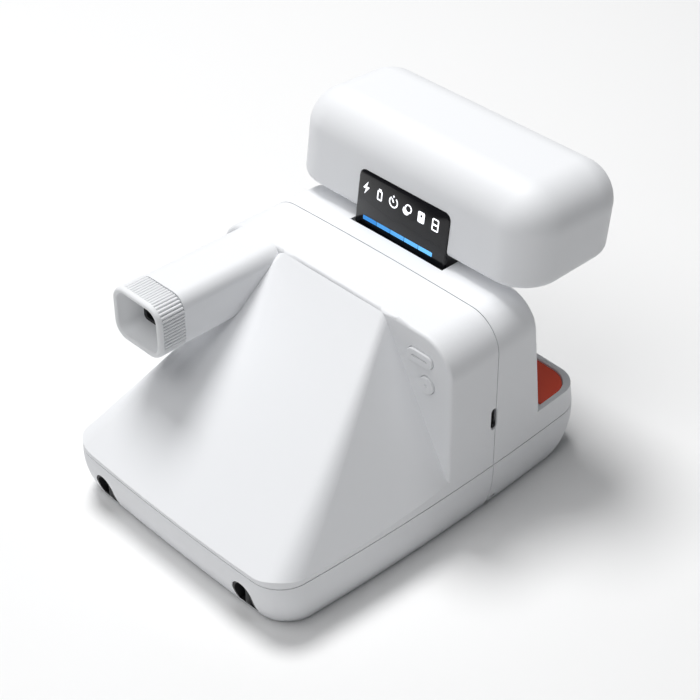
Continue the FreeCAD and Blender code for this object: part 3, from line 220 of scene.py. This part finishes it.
# %% Write the metal and glass recipes
def texture_place(tree, scale):
    """Object coordinates, stretched by a different scale along each axis."""
    place = tree.nodes.new("ShaderNodeTexCoord")
    stretch = tree.nodes.new("ShaderNodeMapping")
    stretch.inputs["Scale"].default_value = scale
    tree.links.new(place.outputs["Object"], stretch.inputs["Vector"])
    return stretch.outputs["Vector"]


def metal(name, colour, roughness, brushing=(400, 4000, 4000)):
    """Bare metal with fine lines along the axis that has the smallest brushing number."""
    paint = bpy.data.materials.new(name)
    paint.use_nodes = True
    tree = paint.node_tree
    shader = tree.nodes["Principled BSDF"]
    shader.inputs["Metallic"].default_value = 1
    lines = tree.nodes.new("ShaderNodeTexNoise")
    lines.inputs["Scale"].default_value = 1
    tree.links.new(texture_place(tree, brushing), lines.inputs["Vector"])
    gloss = tree.nodes.new("ShaderNodeMapRange")
    gloss.inputs["To Min"].default_value = roughness * 0.7
    gloss.inputs["To Max"].default_value = roughness * 1.3
    tree.links.new(lines.outputs["Fac"], gloss.inputs["Value"])
    tree.links.new(gloss.outputs["Result"], shader.inputs["Roughness"])
    tint = tree.nodes.new("ShaderNodeMix")
    tint.data_type = "RGBA"
    tint.inputs["A"].default_value = (*colour, 1)
    tint.inputs["B"].default_value = (*[c * 0.9 for c in colour], 1)
    tree.links.new(lines.outputs["Fac"], tint.inputs["Factor"])
    tree.links.new(tint.outputs["Result"], shader.inputs["Base Color"])
    return paint


def glass(name, colour, roughness=0.02):
    """Clear glass or clear plastic, with a faint unevenness in its polish."""
    paint = plastic(name, colour, roughness, depth=0.0, mottle=0.01)
    shader = paint.node_tree.nodes["Principled BSDF"]
    shader.inputs["Transmission Weight"].default_value = 0.95
    shader.inputs["IOR"].default_value = 1.5
    return paint


def lamp_paint(name, colour, strength):
    """Printed sign lit from behind: an even glow over a faintly mottled print."""
    paint = plastic(name, colour, 0.4, depth=0.0)
    shader = paint.node_tree.nodes["Principled BSDF"]
    shader.inputs["Emission Color"].default_value = (*colour, 1)
    shader.inputs["Emission Strength"].default_value = strength
    return paint


paints["steel"] = metal("steel", (0.56, 0.56, 0.58), 0.3)
paints["brass"] = metal("brass", (0.72, 0.50, 0.20), 0.25)
paints["reflector"] = metal("reflector", (0.85, 0.85, 0.87), 0.12)
paints["mirror_glass"] = metal("mirror_glass", (0.9, 0.9, 0.92), 0.03)
paints["clear_glass"] = glass("clear_glass", (0.95, 0.97, 1.0))
# Near-black lens glass: its colour is painted shade for the dark inside seen through the lenses; its glossy coat
# is real.
lens_glass_painted_shade = plastic("lens_glass_painted_shade", (0.004, 0.004, 0.006), 0.05, depth=0.0, mottle=0.01, coat=1.0)
sign_white = lamp_paint("sign_white", (0.93, 0.95, 1.0), 1.1)
display_black = plastic("display_black", (0.006, 0.006, 0.008), 0.18, depth=0.0, mottle=0.03)
print("paints:", len(paints), "slots covered")

# %% [markdown]
# ## One finish for each slot
# The record names a material slot for every CAD node, so one loop gives each node its paint. The lenses that
# look outwards are the exception: a dark coated glass, its near-black colour painted shade for the dark inside
# behind each lens, reads as a lens where clear glass would show the inside.

# %% Paint every CAD node by its slot
slot_of = {part["node"]: part["material_slot"] for part in frame["record"]["subparts"]}
special = {"eyepiece_lens": lens_glass_painted_shade, "light_sensor": lens_glass_painted_shade, "front_lens": lens_glass_painted_shade}
for name, node in nodes.items():
    node.data.materials.clear()
    node.data.materials.append(special.get(name, paints[slot_of[name]]))
print("painted", len(nodes), "CAD nodes")

# %% [markdown]
# ## Two helpers for moulded shapes
# Most small parts here are a rounded outline pushed through a few levels: a button, a lip, a glass plate.
# A stack of rings with the same number of points needs no boolean and no bevel, and its edges stay even.
# The second helper finds the outermost flat face of a CAD node, so that a piece sits on the frame's own face.

# %% Rings and flat faces
CORNER_STEPS = 8
SHARP = math.radians(38)


def rounded_outline(half_across, half_up, radius):
    """Points round a rectangle with round corners, anticlockwise from the right-hand side."""
    points = []
    for quarter in range(4):
        corner_u = (half_across - radius) * (1 if quarter in (0, 3) else -1)
        corner_v = (half_up - radius) * (1 if quarter in (0, 1) else -1)
        for step in range(CORNER_STEPS + 1):
            angle = math.pi / 2 * (quarter + step / CORNER_STEPS)
            points.append((corner_u + radius * math.cos(angle), corner_v + radius * math.sin(angle)))
    return points


def level(half_across, half_up, radius, height):
    """One ring: a rounded outline at a height above the piece's own plane. All in mm."""
    return [Vector((u, v, height)) * MM for u, v in rounded_outline(half_across, half_up, radius)]


def finish_mesh(name, mesh, place, paint, body):
    """Put a mesh in place, shade it smooth but for its sharp edges, paint it and join it to its body."""
    mesh.transform(place)
    mesh.polygons.foreach_set("use_smooth", [True] * len(mesh.polygons))
    mesh.set_sharp_from_angle(angle=SHARP)
    mesh.materials.clear()
    mesh.materials.append(paint)
    piece = bpy.data.objects.new(name, mesh)
    bpy.context.scene.collection.objects.link(piece)
    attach(piece, body)
    return piece


def ring_stack(name, rings, place, paint, body):
    """Solid piece through a stack of rings, closed with a flat cap at each end."""
    count = len(rings[0])
    points = [p for ring in rings for p in ring]
    faces = [tuple(reversed(range(count)))]
    for i in range(len(rings) - 1):
        for j in range(count):
            a, b = i * count + j, i * count + (j + 1) % count
            faces.append((a, b, b + count, a + count))
    last = (len(rings) - 1) * count
    faces.append(tuple(range(last, last + count)))
    mesh = bpy.data.meshes.new(name)
    mesh.from_pydata(points, [], faces)
    return finish_mesh(name, mesh, place, paint, body)


def face_of(node, towards):
    """Frame of a CAD node's flat face that looks that way: across, up and out, with its centre and half sizes."""
    mesh = nodes[node].data
    facing = [p for p in mesh.polygons if p.normal.dot(towards) > 0.9]
    out = max(facing, key=lambda p: p.area).normal.copy()
    flat = [p for p in facing if p.normal.dot(out) > 0.9999]
    top = max(p.center.dot(out) for p in flat)
    flat = [p for p in flat if p.center.dot(out) > top - 0.01 * MM]
    across = Vector((0, 0, 1)).cross(out).normalized()
    up = out.cross(across)
    corners = [mesh.vertices[i].co for p in flat for i in p.vertices]
    spans = [[c.dot(axis) for c in corners] for axis in (across, up, out)]
    middle = [(min(s) + max(s)) / 2 for s in spans]
    centre = across * middle[0] + up * middle[1] + out * max(spans[2])
    place = Matrix((across, up, out)).transposed().to_4x4()
    place.translation = centre
    return place, (max(spans[0]) - min(spans[0])) / 2 / MM, (max(spans[1]) - min(spans[1])) / 2 / MM


REAR = Vector((0, 1, 0))
FRONT = Vector((0, -1, 0))
display_place, display_across, display_up = face_of("display_window", REAR)
print("display face:", round(display_across, 1), "x", round(display_up, 1), "mm half size")

# %% [markdown]
# ## The two rear buttons
# Each button stands most of a millimetre proud of the housing and has a soft moulded edge, which catches a thin
# line of light. The long one has a groove and the round one a dimple, so that fingers can tell them apart.
# The groove and the dimple are part of the same ring stack, as rings that go back down inside the first. One
# extra ring close to each edge keeps the flat face flat in smooth shading.

# %% Mould the buttons
BUTTON_PROUD = 0.85
CAD_PROUD = 0.35
BUTTON_ROOT = -3.0
EDGE_ROUND = 0.38
EDGE_STEPS = 4
SUPPORT = 0.06
HAIR = 0.001


def soft_button(name, node, groove, depth):
    """Button with a rounded rim and a small rounded groove in its face. groove is its half sizes."""
    place, across, up = face_of(node, REAR)
    lift = BUTTON_PROUD - CAD_PROUD

    def rim(inset, height):
        return level(across - inset, up - inset, up - inset - HAIR, height)

    rings = [rim(0, BUTTON_ROOT)]
    for step in range(EDGE_STEPS + 1):
        angle = math.pi / 2 * step / EDGE_STEPS
        inset = EDGE_ROUND * (1 - math.cos(angle))
        rings.append(rim(inset, lift - EDGE_ROUND * (1 - math.sin(angle))))
    rings.append(rim(EDGE_ROUND + SUPPORT, lift))
    for grow, drop in ((0.30, 0.0), (0.22, 0.0), (0.1, 0.06), (0.0, 0.2), (-0.05, depth)):
        half_across, half_up = groove[0] + grow, groove[1] + grow
        rings.append(level(half_across, half_up, half_up - HAIR, lift - drop))
    piece = ring_stack(name, rings, place, paints["white_shell"], node)
    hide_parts(node)
    return piece


pill = soft_button("power_pill", "power_button", (3.3, 0.30), 0.75)
disc = soft_button("timer_disc", "timer_button", (0.55, 0.55), 0.5)
print("buttons:", pill.name, disc.name)

# %% [markdown]
# ## The display
# A smoked window with a ground bevel stands on the black arm. Its signs are lit through the glass: flash,
# battery, self-timer, double exposure, film and a frame counter, and under them a plain level bar of five
# lamps. The window is a ring stack again, but its outline has two round corners and a square foot.

# %% Grind the window
WINDOW_BEVEL = 0.5
WINDOW_CORNER = 2.8
WINDOW_THICK = 1.3


def window_ring(inset, height):
    """Outline with two round top corners and a square foot, seen from behind."""
    half_across, half_up = display_across - inset, display_up - inset
    radius = WINDOW_CORNER - inset
    points = [Vector((half_across, -half_up, height))]
    for side, start in ((1, 0), (-1, math.pi / 2)):
        for step in range(CORNER_STEPS + 1):
            angle = start + math.pi / 2 * step / CORNER_STEPS
            points.append(Vector((side * (half_across - radius) + radius * math.cos(angle),
                                  half_up - radius + radius * math.sin(angle), height)))
    points.append(Vector((-half_across, -half_up, height)))
    return [p * MM for p in points]


window_rings = [window_ring(0, -WINDOW_THICK), window_ring(0, -WINDOW_BEVEL * 0.6),
                window_ring(WINDOW_BEVEL, 0)]
window = ring_stack("display_glass", window_rings, display_place, display_black, "lid")
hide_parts("display_window")
print("window with a", WINDOW_BEVEL, "mm bevel")

# %% [markdown]
# Each sign is a plate less than a tenth of a millimetre thick in the display's own plane. Drawing it from plain
# outlines, some with a hole, keeps it sharp from any distance, which a font or a picture would not.

# %% Draw the signs
SIGN_THICK = 0.06
SIGN_FOOT = 0.01
SIGN_ROW = display_up - 5.8
SIGN_PITCH = 6.42
SIGN_SHIFT = -0.9
STROKE = 0.48


def flat_sign(loops, centre):
    """Flat plates from closed outlines, in mm, about a centre. A pair of loops is an outline and its hole."""
    made = bmesh.new()

    def trace(loop, height):
        return [made.verts.new(Vector((centre[0] + u, centre[1] + v, height)) * MM) for u, v in loop]

    for outline, hole in loops:
        top = trace(outline, SIGN_THICK)
        low = trace(outline, SIGN_FOOT)
        count = len(top)
        for i in range(count):
            made.faces.new((low[i], low[(i + 1) % count], top[(i + 1) % count], top[i]))
        if hole is None:
            made.faces.new(top)
            made.faces.new(tuple(reversed(low)))
            continue
        inner_top = trace(hole, SIGN_THICK)
        inner_low = trace(hole, SIGN_FOOT)
        for i in range(count):
            k = (i + 1) % count
            made.faces.new((top[i], top[k], inner_top[k], inner_top[i]))
            made.faces.new((low[k], low[i], inner_low[i], inner_low[k]))
            made.faces.new((inner_low[k], inner_low[i], inner_top[i], inner_top[k]))
    return made


def ring_loops(half_across, half_up, radius, shift=(0, 0)):
    """Outline and hole of a rounded frame one stroke wide."""
    outer = rounded_outline(half_across, half_up, radius)
    inner = rounded_outline(half_across - STROKE, half_up - STROKE, max(radius - STROKE, 0.05))
    return [[(u + shift[0], v + shift[1]) for u, v in loop] for loop in (outer, inner)]


def bar_loop(start, end, width):
    """Straight stroke between two points, as a four-cornered outline."""
    along = Vector(end) - Vector(start)
    side = Vector((-along.y, along.x)).normalized() * width / 2
    ends = (Vector(start) - side, Vector(end) - side, Vector(end) + side, Vector(start) + side)
    return [tuple(p) for p in ends]


def arc_strip(radius, start, end, steps=24):
    """Part of a ring one stroke wide, between two angles in degrees."""
    angles = [math.radians(start + (end - start) * i / steps) for i in range(steps + 1)]
    outer = [(radius * math.cos(a), radius * math.sin(a)) for a in angles]
    inner = [((radius - STROKE) * math.cos(a), (radius - STROKE) * math.sin(a)) for a in reversed(angles)]
    return outer + inner


def crescent(front, front_radius, back, back_radius, steps=24):
    """What shows of a disc behind another disc: its outer arc, closed along the front disc's rim."""
    middle = math.atan2(back[1] - front[1], back[0] - front[0])
    loop = []
    for centre, radius, spread in ((back, back_radius, 1.75), (front, front_radius, -1.02)):
        for i in range(steps + 1):
            angle = middle + spread * (2 * i / steps - 1)
            loop.append((centre[0] + radius * math.cos(angle), centre[1] + radius * math.sin(angle)))
    return loop


bolt = [(0.75, 2.5), (-1.45, -0.35), (-0.1, -0.35), (-0.75, -2.5), (1.5, 0.45), (0.15, 0.45)]
battery_frame = ring_loops(1.15, 1.8, 0.5, (0, -0.3))
battery_tip = bar_loop((0, 1.4), (0, 2.1), 1.1)
timer_arc = arc_strip(2.05, 125, 415)
timer_hand = bar_loop((0.1, -0.1), (-0.75, 1.15), 0.55)
timer_dot = rounded_outline(0.36, 0.36, 0.35)
twin_front = ring_loops(1.6, 1.6, 1.59, (0.45, 0.5))
twin_back = crescent((0.45, 0.5), 1.85, (-0.45, -0.5), 1.55)
film_card = ring_loops(1.5, 2.0, 0.6)
film_card[1] = [(u * 0.42, v * 0.3 + 0.5) for u, v in film_card[1]]
digit_frames = [ring_loops(1.5, 1.25, 0.55, (0, 0.98)), ring_loops(1.5, 1.25, 0.55, (0, -0.98))]
signs = {
    "sign_flash": [(bolt, None)],
    "sign_battery": [tuple(battery_frame), (battery_tip, None)],
    "sign_timer": [(timer_arc, None), (timer_hand, None), ([(u - 0.1, v + 2.1) for u, v in timer_dot], None)],
    "sign_double": [tuple(twin_front), (twin_back, None)],
    "sign_film": [tuple(film_card)],
    "sign_count": [tuple(digit_frames[0]), tuple(digit_frames[1])],
}
for i, (name, loops) in enumerate(signs.items()):
    centre = (SIGN_SHIFT + SIGN_PITCH * (i - 2.5), SIGN_ROW)
    made = flat_sign(loops, centre)
    bmesh.ops.recalc_face_normals(made, faces=made.faces)
    mesh = bpy.data.meshes.new(name)
    made.to_mesh(mesh)
    made.free()
    finish_mesh(name, mesh, display_place, sign_white, "lid")
print("signs:", ", ".join(signs))

# %% [markdown]
# The level bar is five thin lamps in a row under the signs, each a little lighter than the one before.

# %% Light the level bar
BAR_ROW = display_up - 16.8
BAR_HALF = 16.3
BAR_SEGMENTS = 5
BAR_HALF_HEIGHT = 0.75
BAR_GAP = 0.12
BAR_CORNER = 0.1
BAR_FOOT = 0.005
DEEP_BLUE = Vector((0.02, 0.20, 0.55))
LIGHT_BLUE = Vector((0.12, 0.45, 0.85))
for i in range(BAR_SEGMENTS):
    name = "level_lamp_%d" % (i + 1)
    glow = lamp_paint(name, tuple(DEEP_BLUE.lerp(LIGHT_BLUE, i / (BAR_SEGMENTS - 1))), 0.8)
    half = BAR_HALF / BAR_SEGMENTS
    centre = Vector((SIGN_SHIFT - BAR_HALF + half * (2 * i + 1), BAR_ROW, 0)) * MM
    rings = [[p + centre for p in level(half - BAR_GAP, BAR_HALF_HEIGHT, BAR_CORNER, height)]
             for height in (BAR_FOOT, SIGN_THICK)]
    ring_stack(name, rings, display_place, glow, "lid")
print("level bar of", BAR_SEGMENTS, "lamps")

# %% [markdown]
# ## The eyecup
# A soft ribbed cup closes the finder tunnel. Inside it a smooth funnel leads down to a small black window.
# The cup is a closed skin of rings that runs up the outside, over the round lip and back down the funnel.
# The ribs repeat at an even pitch all the way round, so they come from Geometry Nodes.

# %% Form the cup
CUP_LIP = 1.5
LIP_TURN = CUP_LIP * 0.7
LIP_STEPS = 6
CUP_MOUTH = 2.1
CUP_BAND = 0.5
CUP_BASE_DEPTH = 10.8
BAND_DEPTH = 1.9
CUP_CORNER = 6.0
FUNNEL_START = CUP_MOUTH - LIP_TURN
FUNNEL_STEPS = 8
THROAT_CORNER = 0.5
THROAT = (5.7, 4.5)
THROAT_DEPTH = 12.0
SPIGOT_DEPTH = 19.0
cup_low, cup_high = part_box("eyecup")
cup_end = cup_high.y
cup_half = (12.15, 10.25)
mouth = (cup_half[0] - CUP_MOUTH, cup_half[1] - CUP_MOUTH)
cup_place = Matrix(((-1, 0, 0, 0), (0, 0, 1, 0), (0, 1, 0, 0), (0, 0, 0, 1)))
cup_place.translation = Vector(((cup_low.x + cup_high.x) / 2, cup_end, cup_low.z + cup_half[1] * MM))


def cup_ring(inset, depth):
    """Ring of the cup's outside. depth is measured back from the end of the lip."""
    radius = max(CUP_CORNER - inset, 0.4)
    return level(cup_half[0] - inset, cup_half[1] - inset, radius, -depth)


def funnel_ring(share, inset=0.0):
    """Ring of the funnel's inside, from the mouth at 0 to the throat at 1."""
    half_across, half_up = [m + (t - m) * share - inset for m, t in zip(mouth, THROAT)]
    radius = (CUP_CORNER - CUP_MOUTH) * (1 - share) + THROAT_CORNER * share
    return level(half_across, half_up, radius, -FUNNEL_START - (THROAT_DEPTH - FUNNEL_START) * share)


cup_rings = [cup_ring(CUP_BAND + 0.1, CUP_BASE_DEPTH), cup_ring(CUP_BAND, BAND_DEPTH),
             cup_ring(0.0, BAND_DEPTH - 0.15)]
for step in range(LIP_STEPS + 1):
    angle = math.pi / 2 * step / LIP_STEPS
    cup_rings.append(cup_ring(LIP_TURN * (1 - math.cos(angle)), CUP_LIP * (1 - math.sin(angle))))
for step in range(1, LIP_STEPS + 1):
    angle = math.pi / 2 * step / LIP_STEPS
    cup_rings.append(cup_ring(LIP_TURN + FUNNEL_START * math.sin(angle), FUNNEL_START * (1 - math.cos(angle))))
for step in range(1, FUNNEL_STEPS + 1):
    cup_rings.append(funnel_ring(step / FUNNEL_STEPS))
lens_seat = (6.5, 5.3, 1.1)
spigot = (9.4, 7.45, 4.9)
cup_rings += [level(*lens_seat, -THROAT_DEPTH), level(*lens_seat, -SPIGOT_DEPTH),
              level(*spigot, -SPIGOT_DEPTH), level(*spigot, -CUP_BASE_DEPTH - 0.1)]


def closed_skin(name, rings, place, paint, body):
    """Closed skin round a hole: each ring joins the next and the last one joins the first."""
    count = len(rings[0])
    faces = []
    for i in range(len(rings)):
        k = (i + 1) % len(rings)
        for j in range(count):
            n = (j + 1) % count
            faces.append((i * count + j, i * count + n, k * count + n, k * count + j))
    mesh = bpy.data.meshes.new(name)
    mesh.from_pydata([p for ring in rings for p in ring], [], faces)
    return finish_mesh(name, mesh, place, paint, body)


cup = closed_skin("eyecup_skin", cup_rings, cup_place, paints["white_cup"], "camera_body")
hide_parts("eyecup")
print("eyecup:", len(cup_rings), "rings of", len(cup_rings[0]), "points")

# %% [markdown]
# The end of the funnel is lined with a black frame: painted shade, a dark sheet that stands for the shade deep
# in the funnel. It is one more closed skin: its outside follows the funnel's taper and its inside stays clear of
# the line of sight.

# %% Line the funnel's end
FRAME_DEPTH = 8.6
FRAME_GAP = 0.05
FRAME_FRONT_HOLE = (5.62, 4.42, 0.4)
FRAME_BACK_HOLE = (5.58, 4.38, 0.4)
frame_share = (FRAME_DEPTH - FUNNEL_START) / (THROAT_DEPTH - FUNNEL_START)
frame_end = -THROAT_DEPTH + FRAME_GAP
frame_rings = [level(THROAT[0] - FRAME_GAP, THROAT[1] - FRAME_GAP, THROAT_CORNER, frame_end),
               funnel_ring(frame_share, FRAME_GAP), level(*FRAME_FRONT_HOLE, -FRAME_DEPTH),
               level(*FRAME_BACK_HOLE, frame_end)]
# Black lining is painted shade: it darkens the funnel's end, where the real cup has only shade.
eye_shade_frame = closed_skin("eyepiece_painted_shade", frame_rings, cup_place, paints["black_plastic"], "camera_body")
print("eyepiece frame:", len(eye_shade_frame.data.polygons), "faces")

# %% [markdown]
# The ribs are slim rods side by side, sunk into the band that the cup's skin leaves for them. A path round the
# cup is filleted, divided evenly into as many points as there are ribs, and each point gets one rod.

# %% Grow the ribs round it
RIB_COUNT = 62
RIB_RADIUS = 0.53
RIB_LENGTH = 9.1
RIB_MIDDLE = 6.2


def new_tree(name, sizes):
    """Empty Geometry Nodes tree with an input for each size and a material input called Paint."""
    tree = bpy.data.node_groups.new(name, "GeometryNodeTree")
    for title, value in sizes.items():
        kind = "NodeSocketInt" if isinstance(value, int) else "NodeSocketFloat"
        socket = tree.interface.new_socket(title, in_out="INPUT", socket_type=kind)
        socket.default_value = value
    tree.interface.new_socket("Paint", in_out="INPUT", socket_type="NodeSocketMaterial")
    tree.interface.new_socket("Geometry", in_out="OUTPUT", socket_type="NodeSocketGeometry")
    entry = tree.nodes.new("NodeGroupInput")
    return tree, entry


def end_tree(tree, entry, instances):
    """Close a tree: realize the instances, paint them, send them out."""
    real = tree.nodes.new("GeometryNodeRealizeInstances")
    paint = tree.nodes.new("GeometryNodeSetMaterial")
    leave = tree.nodes.new("NodeGroupOutput")
    tree.links.new(instances, real.inputs["Geometry"])
    tree.links.new(real.outputs["Geometry"], paint.inputs["Geometry"])
    tree.links.new(entry.outputs["Paint"], paint.inputs["Material"])
    tree.links.new(paint.outputs["Geometry"], leave.inputs["Geometry"])


def run_tree(name, tree, sizes, paint, place, body):
    """Run a tree on an empty mesh, keep its result as a plain piece and drop the modifier."""
    seed = bpy.data.objects.new(name + "_seed", bpy.data.meshes.new(name + "_seed"))
    bpy.context.scene.collection.objects.link(seed)
    modifier = seed.modifiers.new("grow", "NODES")
    modifier.node_group = tree
    for item in tree.interface.items_tree:
        if item.in_out == "INPUT":
            modifier[item.identifier] = paint if item.name == "Paint" else sizes[item.name]
    result = seed.evaluated_get(bpy.context.evaluated_depsgraph_get())
    mesh = bpy.data.meshes.new_from_object(result)
    seed.modifiers.clear()
    bpy.data.objects.remove(seed)
    mesh.name = name
    return finish_mesh(name, mesh, place, paint, body)


def fluted_band_tree(sizes):
    """Rods on a rounded rectangle: the path is filleted, resampled to the count, and each point gets a rod."""
    tree, entry = new_tree("fluted_band", sizes)
    path = tree.nodes.new("GeometryNodeCurvePrimitiveQuadrilateral")
    fillet = tree.nodes.new("GeometryNodeFilletCurve")
    fillet.mode = "POLY"
    fillet.inputs["Count"].default_value = 12
    even = tree.nodes.new("GeometryNodeResampleCurve")
    rod = tree.nodes.new("GeometryNodeMeshCylinder")
    rod.inputs["Vertices"].default_value = 10
    spread = tree.nodes.new("GeometryNodeInstanceOnPoints")
    for source, target in (("Width", path.inputs["Width"]), ("Height", path.inputs["Height"]),
                           ("Corner", fillet.inputs["Radius"]), ("Count", even.inputs["Count"]),
                           ("Rod Radius", rod.inputs["Radius"]), ("Rod Length", rod.inputs["Depth"])):
        tree.links.new(entry.outputs[source], target)
    tree.links.new(path.outputs["Curve"], fillet.inputs["Curve"])
    tree.links.new(fillet.outputs["Curve"], even.inputs["Curve"])
    tree.links.new(even.outputs["Curve"], spread.inputs["Points"])
    tree.links.new(rod.outputs["Mesh"], spread.inputs["Instance"])
    end_tree(tree, entry, spread.outputs["Instances"])
    return tree


band = {"Width": 2 * (cup_half[0] - RIB_RADIUS) * MM, "Height": 2 * (cup_half[1] - RIB_RADIUS) * MM,
        "Corner": (CUP_CORNER - RIB_RADIUS) * MM, "Count": RIB_COUNT,
        "Rod Radius": RIB_RADIUS * MM, "Rod Length": RIB_LENGTH * MM}
rib_place = cup_place @ Matrix.Translation((0, 0, -RIB_MIDDLE * MM))
ribs = run_tree("eyecup_ribs", fluted_band_tree(band), band, paints["white_cup"], rib_place,
                "camera_body")
print("ribs:", RIB_COUNT, "rods,", len(ribs.data.polygons), "faces")

# %% [markdown]
# ## The flash window
# A flash spreads its light with a row of fine upright ribs moulded behind the window's polished face. They are
# one rod repeated along a line, so count, pitch and size stay inputs of the tree.

# %% Mould the ribs of the flash window
FLASH_RIBS = 44
FLASH_RIB_RADIUS = 0.5
FLASH_SIDE_MARGIN = 2.0
FLASH_END_MARGIN = 0.8
FLASH_SINK = 0.35


def rod_row_tree(sizes):
    """Rods side by side on a straight line that starts at the tree's origin, one pitch apart."""
    tree, entry = new_tree("rod_row", sizes)
    step = tree.nodes.new("ShaderNodeCombineXYZ")
    line = tree.nodes.new("GeometryNodeMeshLine")
    rod = tree.nodes.new("GeometryNodeMeshCylinder")
    rod.inputs["Vertices"].default_value = 12
    upright = tree.nodes.new("GeometryNodeTransform")
    upright.inputs["Rotation"].default_value = (math.pi / 2, 0, 0)
    spread = tree.nodes.new("GeometryNodeInstanceOnPoints")
    for source, target in (("Count", line.inputs["Count"]), ("Pitch", step.inputs["X"]),
                           ("Rod Radius", rod.inputs["Radius"]), ("Rod Length", rod.inputs["Depth"])):
        tree.links.new(entry.outputs[source], target)
    tree.links.new(step.outputs["Vector"], line.inputs["Offset"])
    tree.links.new(rod.outputs["Mesh"], upright.inputs["Geometry"])
    tree.links.new(line.outputs["Mesh"], spread.inputs["Points"])
    tree.links.new(upright.outputs["Geometry"], spread.inputs["Instance"])
    end_tree(tree, entry, spread.outputs["Instances"])
    return tree


flash_place, flash_across, flash_up = face_of("flash_window", FRONT)
row_half = flash_across - FLASH_SIDE_MARGIN
pitch = 2 * row_half / (FLASH_RIBS - 1)
row = {"Count": FLASH_RIBS, "Pitch": pitch * MM, "Rod Radius": FLASH_RIB_RADIUS * MM,
       "Rod Length": 2 * (flash_up - FLASH_END_MARGIN) * MM}
row_place = flash_place @ Matrix.Translation((-row_half * MM, 0, -FLASH_SINK * MM))
flutes = run_tree("flash_flutes", rod_row_tree(row), row, paints["clear_glass"], row_place, "lid")
print("flash ribs:", FLASH_RIBS, "rods,", len(flutes.data.polygons), "faces")
